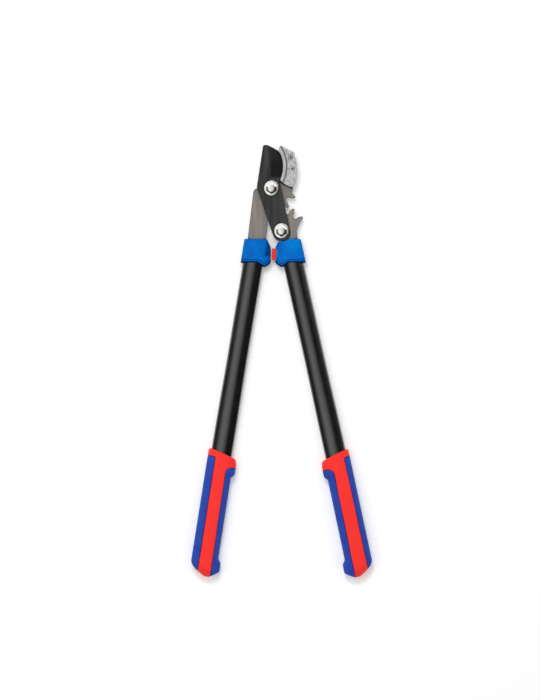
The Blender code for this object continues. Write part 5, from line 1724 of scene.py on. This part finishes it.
    def oval(self, turn: float, half_width: float, half_depth: float, along: float) -> Corner:
        """Point of a rounded oval about the handle's axis."""
        power = 2 / self.tube_squareness
        x = half_width * signed_power(math.cos(turn), power)
        z = half_depth * signed_power(math.sin(turn), power)
        return (x, along, self.layout.handle_z + z)

    def bumper_outline(self, grow: float) -> tuple[list[Vector], float, float]:
        """Outline, bottom and top of the bumper, or of its seat when it is grown."""
        at = self.layout
        high = at.head_y - self.bumper_drop + self.bumper_height / 2 + grow
        low = high - self.bumper_height - 2 * grow
        near = self.bumper_face_x - grow
        far = self.bumper_face_x + self.bumper_proud + self.bumper_seat + grow
        radius = self.bumper_round
        corners = [(near, low, radius), (far, low, radius), (far, high, radius), (near, high, radius)]
        half = self.bumper_depth / 2 + grow
        return Outline.rounded(corners), at.handle_z - half, at.handle_z + half

    def build_bumper(self) -> None:
        """Makes the rubber stop."""
        mesh = Maker.plate(*self.bumper_outline(0.0), 1.2 * MM, 5)
        finish = self.palette.rubber
        publish("bumper_block", mesh, "right_handle", "red_rubber", ["bumper"], finish, angle=45.0)


@dataclass
class Grip:
    """Grip core with its recesses, and the two soft pads that fill them."""

    handle: Handle
    half_width: float = 21.2 * MM
    box_share: float = 0.981
    squareness: float = 2.5
    top_slant: float = 10.5 * MM
    slant_power: float = 1.5
    crown: float = 0.4 * MM
    slant_fade: float = 26.0 * MM
    outer_swell: float = 1.3 * MM
    inner_swell: Pair = (0.7 * MM, 2.6 * MM)
    guard_height: float = 5.4 * MM
    guard_start: float = 9.0 * MM
    guard_rise: float = 13.0 * MM
    guard_length: float = 27.0 * MM
    guard_fall: float = 8.5 * MM
    knob_height: float = 5.2 * MM
    knob_length: float = 33.5 * MM
    knob_rise: float = 10.0 * MM
    end_outer_length: float = 23.5 * MM
    end_outer_draw: float = 25.0 * MM
    end_outer_power: float = 1.9
    end_inner_length: float = 11.5 * MM
    end_inner_draw: float = 16.0 * MM
    end_inner_power: float = 1.3
    end_least_depth: float = 0.35
    top_tuck: float = 2.2 * MM
    top_round: float = 3.2 * MM
    edge_inner: float = 1.1 * MM
    edge_outer: float = 2.6 * MM
    edge_depth: float = 1.9 * MM
    pad_thickness: float = 1.7 * MM
    outer_pad_top: float = 12.0 * MM
    inner_pad_top: float = 26.2 * MM
    outer_pad_corner: float = 3.0 * MM
    inner_pad_corner: float = 9.6 * MM
    groove: float = 0.35 * MM
    # Width of the painted shade along the seams round the pads.
    seam: float = 0.8 * MM
    roll: float = 1.3 * MM
    roll_depth: float = 0.6 * MM
    fine_start: float = 48.0 * MM
    fine_end: float = 36.0 * MM
    pad_lead: float = 9.0 * MM
    mouth_inset: float = 0.4 * MM
    mouth_depth: float = 14.0 * MM
    pocket_step: float = 40.0 * MM
    recess_edge: float = 0.5 * MM
    narrowest_pad: float = 0.6 * MM
    around: int = 160
    pad_around: int = 44
    seams: dict[tuple[Side, bool], Pair] = field(default_factory=lambda: {
        (Side.LEFT, False): (9.2 * MM, -0.008),
        (Side.LEFT, True): (11.5 * MM, 0.0165),
        (Side.RIGHT, False): (12.6 * MM, -0.0065),
        (Side.RIGHT, True): (9.2 * MM, 0.016),
    })

    def outer(self, s: float) -> float:
        """Half width on the outer side, at a distance down from the top."""
        length = self.handle.grip_length
        t = max(0.0, (s - (length - self.end_outer_length)) / self.end_outer_length)
        swell = self.outer_swell * max(0.0, 1 - s / (0.85 * length))
        return self.half_width + swell - self.end_outer_draw * t**self.end_outer_power

    def inner(self, s: float) -> float:
        """Half width on the inner side: finger guard, knob and rounded end."""
        length = self.handle.grip_length
        rise = clamped((s - self.guard_start) / self.guard_rise)
        fall = smooth((s - self.guard_start - self.guard_length) / self.guard_fall)
        guard = math.sqrt(1 - (1 - rise) ** 2) - fall
        knob = smooth((s - (length - self.knob_length)) / self.knob_rise)
        tuck = self.top_tuck * (1 - smooth(s / self.guard_start))
        t = max(0.0, (s - (length - self.end_inner_length)) / self.end_inner_length)
        width = self.half_width + self.guard_height * guard + self.knob_height * knob
        width += self.inner_swell[0] + (self.inner_swell[1] - self.inner_swell[0]) * s / length
        return width - tuck - self.end_inner_draw * t**self.end_inner_power

    def section(self, s: float) -> tuple[float, float, float]:
        """Middle, half width and half depth of the form at a distance down."""
        fade = max(0.0, 1 - s / self.slant_fade)
        outer, inner = self.outer(s), self.inner(s + self.top_slant * fade)
        to_end = min(1.0, (self.handle.grip_length - s) / self.end_outer_length)
        closing = 1 - (1 - self.end_least_depth) * (1 - to_end) ** 3
        depth = (self.handle.layout.handle_z + self.crown) * closing
        return (inner - outer) / 2, (outer + inner) / 2 * self.box_share, depth

    def slant(self, s: float, x: float) -> float:
        """How much lower the slanted top carries a point of the section at s."""
        fade = max(0.0, 1 - s / self.slant_fade)
        lean_in = max(0.0, (x + self.half_width) / (2 * self.half_width))
        return self.top_slant * fade * lean_in**self.slant_power

    def softened(self, s: float, turn: float) -> Pair:
        """How far the rounded top edge lies inside the form, across and in depth."""
        t = 1 - min(1.0, s / self.top_round)
        share = 1 - math.sqrt(max(0.0, 1 - t * t))
        outwards = 0.5 - 0.5 * math.cos(turn)
        across = self.edge_inner + (self.edge_outer - self.edge_inner) * outwards
        return share * across, share * self.edge_depth

    def point(self, s: float, turn: float, inset: float, sag: float = 0.0) -> tuple[float, float, float]:
        """Point of the form in the handle's frame.

        Args:
            s: Distance down from the top.
            turn: Angle round the section, 0 on the inner side.
            inset: How far the point lies inside the form.
            sag: How much flatter the form is there.

        Returns:
            The point.
        """
        middle, half, depth = self.section(s)
        power = 2 / self.squareness
        x = middle + (half - inset) * signed_power(math.cos(turn), power)
        flat = self.handle.layout.handle_z - inset - sag
        z = (depth - inset - sag) * signed_power(math.sin(turn), power)
        z = min(max(z, -flat), flat)
        along = -(self.handle.grip_start + s + self.slant(s, x))
        return (self.handle.side.value * x, along, self.handle.layout.handle_z + z)

    def stations(self) -> list[float]:
        """Distances down the grip, close together where its form changes."""
        length = self.handle.grip_length
        marks = [0.0, 0.05 * MM, 0.2 * MM, 0.45 * MM, 0.85 * MM, 1.4 * MM]
        marks += [i * 0.75 * MM for i in range(3, 64)]
        high = length - self.fine_end
        return marks + spread(self.fine_start, high, 24) + spread(high, length, 60)[1:]

    def depth_in(self, across: float, along: float, inner: bool) -> float:
        """How far a place lies inside a pad's zone; negative outside it.

        Args:
            across: Distance from the axis, positive towards the pad.
            along: Distance down from the grip's start.
            inner: Whether it is the inner pad.

        Returns:
            The distance, in metres.
        """
        radius = self.inner_pad_corner if inner else self.outer_pad_corner
        u = across - self.seam_at(along, inner)
        v = along - (self.inner_pad_top if inner else self.outer_pad_top)
        if u < radius and v < radius:
            return radius - math.hypot(radius - u, radius - v)
        return min(u, v)

    def build(self) -> None:
        """Makes the core and both pads."""
        self.build_core()
        for inner in (False, True):
            self.build_pad(inner)

    def build_core(self) -> None:
        """Makes the core with its pocket for the tube and its recesses."""
        handle = self.handle
        at = handle.layout
        turns = handle.turns(self.around)
        bottom = -(handle.grip_start + handle.grip_length - handle.tube_end_margin + at.gap)
        rings: list[Ring] = []
        rims: list[Rim] = []
        wide, deep = handle.tube_low_half_width + at.gap, handle.tube_low_half_depth + at.gap
        for along in (bottom, bottom + self.pocket_step, -(handle.grip_start + self.mouth_depth)):
            ring = [handle.oval(turn, wide, deep, along) for turn in turns]
            rings.append([(handle.side.value * x, y, z) for x, y, z in ring])
        mouth = []
        for x, _, z in rings[-1]:
            drop = self.slant(0.0, handle.side.value * x)
            mouth.append((x, -(handle.grip_start + drop + self.mouth_inset), z))
        rings.append(mouth)
        # Painted shade inside the pocket, darkening the grip's top edge where the tube enters.
        rims += [1.0] * len(rings)
        for s in self.stations():
            ring, rim = [], []
            for turn in turns:
                edge, sag = self.softened(s, turn)
                x, y, z = self.point(s, turn, edge, sag)
                across = handle.side.value * x
                along = -y - handle.grip_start
                inside = max(self.depth_in(across, along, True), self.depth_in(-across, along, False))
                sink = (self.pad_thickness + at.gap) * smooth((inside + self.groove) / self.recess_edge)
                ring.append(self.point(s, turn, edge + sink, sag) if sink else (x, y, z))
                # Painted shade in the seam round each pad.
                rim.append(smooth((inside + self.groove + self.seam) / self.seam))
            rings.append(ring)
            rims.append(rim)
        mesh = Maker.loft(rings, rims)
        mesh.transform(at.matrix(handle.side))
        handle.put("grip_core", "moulding", mesh, "red_plastic", handle.palette.red, angle=50.0)

    def build_pad(self, inner: bool) -> None:
        """Makes one pad: a shell whose edges roll down into the groove round it."""
        handle = self.handle
        top = self.inner_pad_top if inner else self.outer_pad_top
        radius = self.inner_pad_corner if inner else self.outer_pad_corner
        rings: list[Ring] = []
        rims: list[Rim] = []
        for s in self.pad_stations(top, radius):
            middle, half, _ = self.section(s)
            v = s + self.slant_at(s, inner) - top
            border = seam = self.seam_at(v + top, inner)
            if v < radius:
                seam += radius - math.sqrt(max(0.0, radius**2 - (radius - v) ** 2))
            limit = (middle + half) if inner else (half - middle)
            if limit - seam < self.narrowest_pad:
                continue
            offset = (seam - middle if inner else seam + middle) / half
            first = math.acos(max(-1.0, min(1.0, signed_power(offset, self.squareness / 2))))
            outside, inside, rim = [], [], []
            for i in range(self.pad_around + 1):
                share = 0.5 - 0.5 * math.cos(math.pi * (i / self.pad_around))
                turn = first * (1 - 2 * share)
                turn = turn if inner else math.pi - turn
                x = self.point(s, turn, 0.0)[0] * handle.side.value
                near = min(abs((x if inner else -x) - border), max(0.0, v))
                roll = max(0.0, 1 - near / self.roll)
                inset = self.roll_depth * roll**2
                outside.append(self.point(s, turn, inset))
                inside.append(self.point(s, turn, self.pad_thickness))
                # Painted shade where the pad's edge rolls down into the groove.
                rim.append(roll)
            rings.append(outside + inside[::-1])
            rims.append(rim + [1.0] * len(inside))
        mesh = Maker.loft(rings, rims)
        mesh.transform(handle.layout.matrix(handle.side))
        label = f"grip_{'inner' if inner else 'outer'}_pad"
        handle.put(label, "soft", mesh, "soft_blue", handle.palette.pad, angle=55.0)

    def slant_at(self, s: float, inner: bool) -> float:
        """How much lower the slanted top carries a section at a pad's middle."""
        middle, half, _ = self.section(s)
        edge = middle + half if inner else middle - half
        seam = self.seam_at(s, inner)
        return self.slant(s, (edge + (seam if inner else -seam)) / 2)

    def seam_at(self, along: float, inner: bool) -> float:
        """Distance from the axis to a pad's long seam, at a distance down from the grip's start."""
        start, drift = self.seams[self.handle.side, inner]
        return start + drift * along

    def pad_stations(self, top: float, radius: float) -> list[float]:
        """Distances down a pad, close together near its top."""
        marks = [s for s in self.stations() if s > top - self.pad_lead]
        fine = [top - self.pad_lead + 0.25 * MM * i for i in range(80)]
        found = sorted(set(marks + [s for s in fine if s > 0]))
        kept = []
        for s in found:
            v = s + self.slant_at(s, radius == self.inner_pad_corner) - top
            if v > 0.03 * MM:
                kept.append(s)
        return kept


@dataclass
class Studio:
    """Floor, light and camera."""

    layout: Layout
    pixel: float = 1.646 * MM
    pivot_pixel: Pair = (271.5, 188.3)
    frame_size: tuple[int, int] = (540, 700)
    lens: float = 150.0
    sensor: float = 36.0
    plane_z: float = 18.0 * MM
    ambient: float = 0.60
    glow: float = 0.17
    dark_share: float = 0.03
    white: tuple[float, ...] = (1.0, 1.0, 1.0, 1.0)
    paper: tuple[float, ...] = (0.93, 0.93, 0.93, 1.0)
    floor_reach: float = 4.0
    floor_z: float = -0.3 * MM
    panel_right: Pair = (-0.16, 0.32)
    panel_left: Pair = (-0.8, -0.12)
    panel_low: Pair = (-0.7, -0.3)
    panel_top: Pair = (0.12, 0.4)
    panel_leak: float = 0.05
    lamps: list[tuple[str, Corner, Corner, float, float]] = field(default_factory=lambda: [
        ("key", (-0.2, 0.55, 1.8), (0.0, -0.25, 0.0), 0.6, 15.0),
        ("fill", (-0.7, -0.3, 1.8), (0.0, -0.25, 0.0), 1.2, 5.0),
    ])

    def build(self) -> None:
        """Makes the stage."""
        self.build_floor()
        self.build_world()
        for name, place, target, size, power in self.lamps:
            self.lamp(name, Vector(place), Vector(target), size, power)
        self.build_camera()

    def build_floor(self) -> None:
        """Pale floor that reads as white to the camera and keeps the shadow."""
        mesh = bpy.data.meshes.new("floor")
        reach, z = self.floor_reach, self.floor_z
        points = [(-reach, -reach, z), (reach, -reach, z), (reach, reach, z), (-reach, reach, z)]
        mesh.from_pydata(points, [], [(0, 1, 2, 3)])
        made = bpy.data.materials.new("floor_paper")
        made.use_nodes = True
        at = Nodes(made.node_tree)
        path = at.add("ShaderNodeLightPath").outputs
        seen = at.maths("ADD", path["Is Camera Ray"], path["Is Glossy Ray"])
        seen = at.maths("ADD", seen, path["Is Transmission Ray"], clamp=True)
        for label, value in {
            "Base Color": self.paper,
            "Roughness": 0.9,
            "Specular IOR Level": 0.0,
            "Emission Color": self.white,
            "Emission Strength": at.maths("MULTIPLY", seen, self.glow),
        }.items():
            at.feed(made.node_tree.nodes["Principled BSDF"].inputs[label], value)
        mesh.materials.append(made)
        floor = placed("floor", mesh)

    def build_world(self) -> None:
        """Soft light from all round, white to the camera; gloss sees a white panel with dark sides."""
        world = bpy.data.worlds.new("studio")
        bpy.context.scene.world = world
        world.use_nodes = True
        at = Nodes(world.node_tree)
        light = world.node_tree.nodes["Background"].inputs
        at.feed(light["Color"], self.white)
        parts = at.parts(at.add("ShaderNodeTexCoord").outputs["Generated"])
        east, north = parts["X"], parts["Y"]
        right = at.maths("SUBTRACT", 1.0, at.ramp(east, *self.panel_right))
        leak = self.panel_leak
        left = at.maths("MULTIPLY_ADD", at.ramp(east, *self.panel_left), 1.0 - leak, leak)
        down = at.ramp(north, *self.panel_low)
        panel = at.maths("MULTIPLY", at.maths("MULTIPLY", right, left), down)
        panel = at.maths("MAXIMUM", panel, at.ramp(north, *self.panel_top))
        gloss = at.maths("MULTIPLY_ADD", panel, 1.0 - self.dark_share, self.dark_share)
        path = at.add("ShaderNodeLightPath").outputs
        seen = at.maths("ADD", path["Is Camera Ray"], path["Is Transmission Ray"], clamp=True)
        strength = at.maths("MULTIPLY_ADD", seen, 1.0 - self.ambient, self.ambient)
        gained = at.maths("MULTIPLY", at.maths("SUBTRACT", gloss, self.ambient), path["Is Glossy Ray"])
        at.feed(light["Strength"], at.maths("ADD", strength, gained))

    def lamp(self, name: str, place: Vector, target: Vector, size: float, power: float) -> None:
        """A square soft lamp aimed at a point."""
        data = bpy.data.lights.new(name, "AREA")
        data.size = size
        data.energy = power
        lamp = placed(name, data)
        lamp.location = place
        lamp.rotation_mode = "QUATERNION"
        lamp.rotation_quaternion = (target - place).to_track_quat("-Z", "Y")
        lamp.visible_glossy = False

    def build_camera(self) -> None:
        """Camera straight above, at the photograph's scale."""
        data = bpy.data.cameras.new("camera")
        data.lens = self.lens
        data.sensor_width = self.sensor
        width, height = self.frame_size
        x = (width / 2 - self.pivot_pixel[0]) * self.pixel
        y = (self.pivot_pixel[1] - height / 2) * self.pixel
        distance = height * self.pixel * self.lens / self.sensor
        data.clip_end = 2 * distance
        camera = placed("camera", data)
        camera.location = (x, y, self.plane_z + distance)
        bpy.context.scene.camera = camera
        bpy.context.scene.view_settings.view_transform = "Standard"


def main() -> None:
    """Builds the lopper and its stage."""
    logging.basicConfig(level=logging.INFO, format="%(name)s %(message)s")
    layout = Layout()
    palette = Palette()
    Studio(layout).build()
    Arms(layout, GearTeeth(layout), palette).build()
    BladeLever(layout, palette).build()
    Anvil(layout, palette).build()
    PivotHardware(layout, palette, "main_pivot", "left_handle", Vector((0, 0))).build()
    PivotHardware(layout, palette, "link", "blade", layout.link).build()
    for side in Side:
        Handle(layout, palette, side).build()


if __name__ == "__main__":
    main()
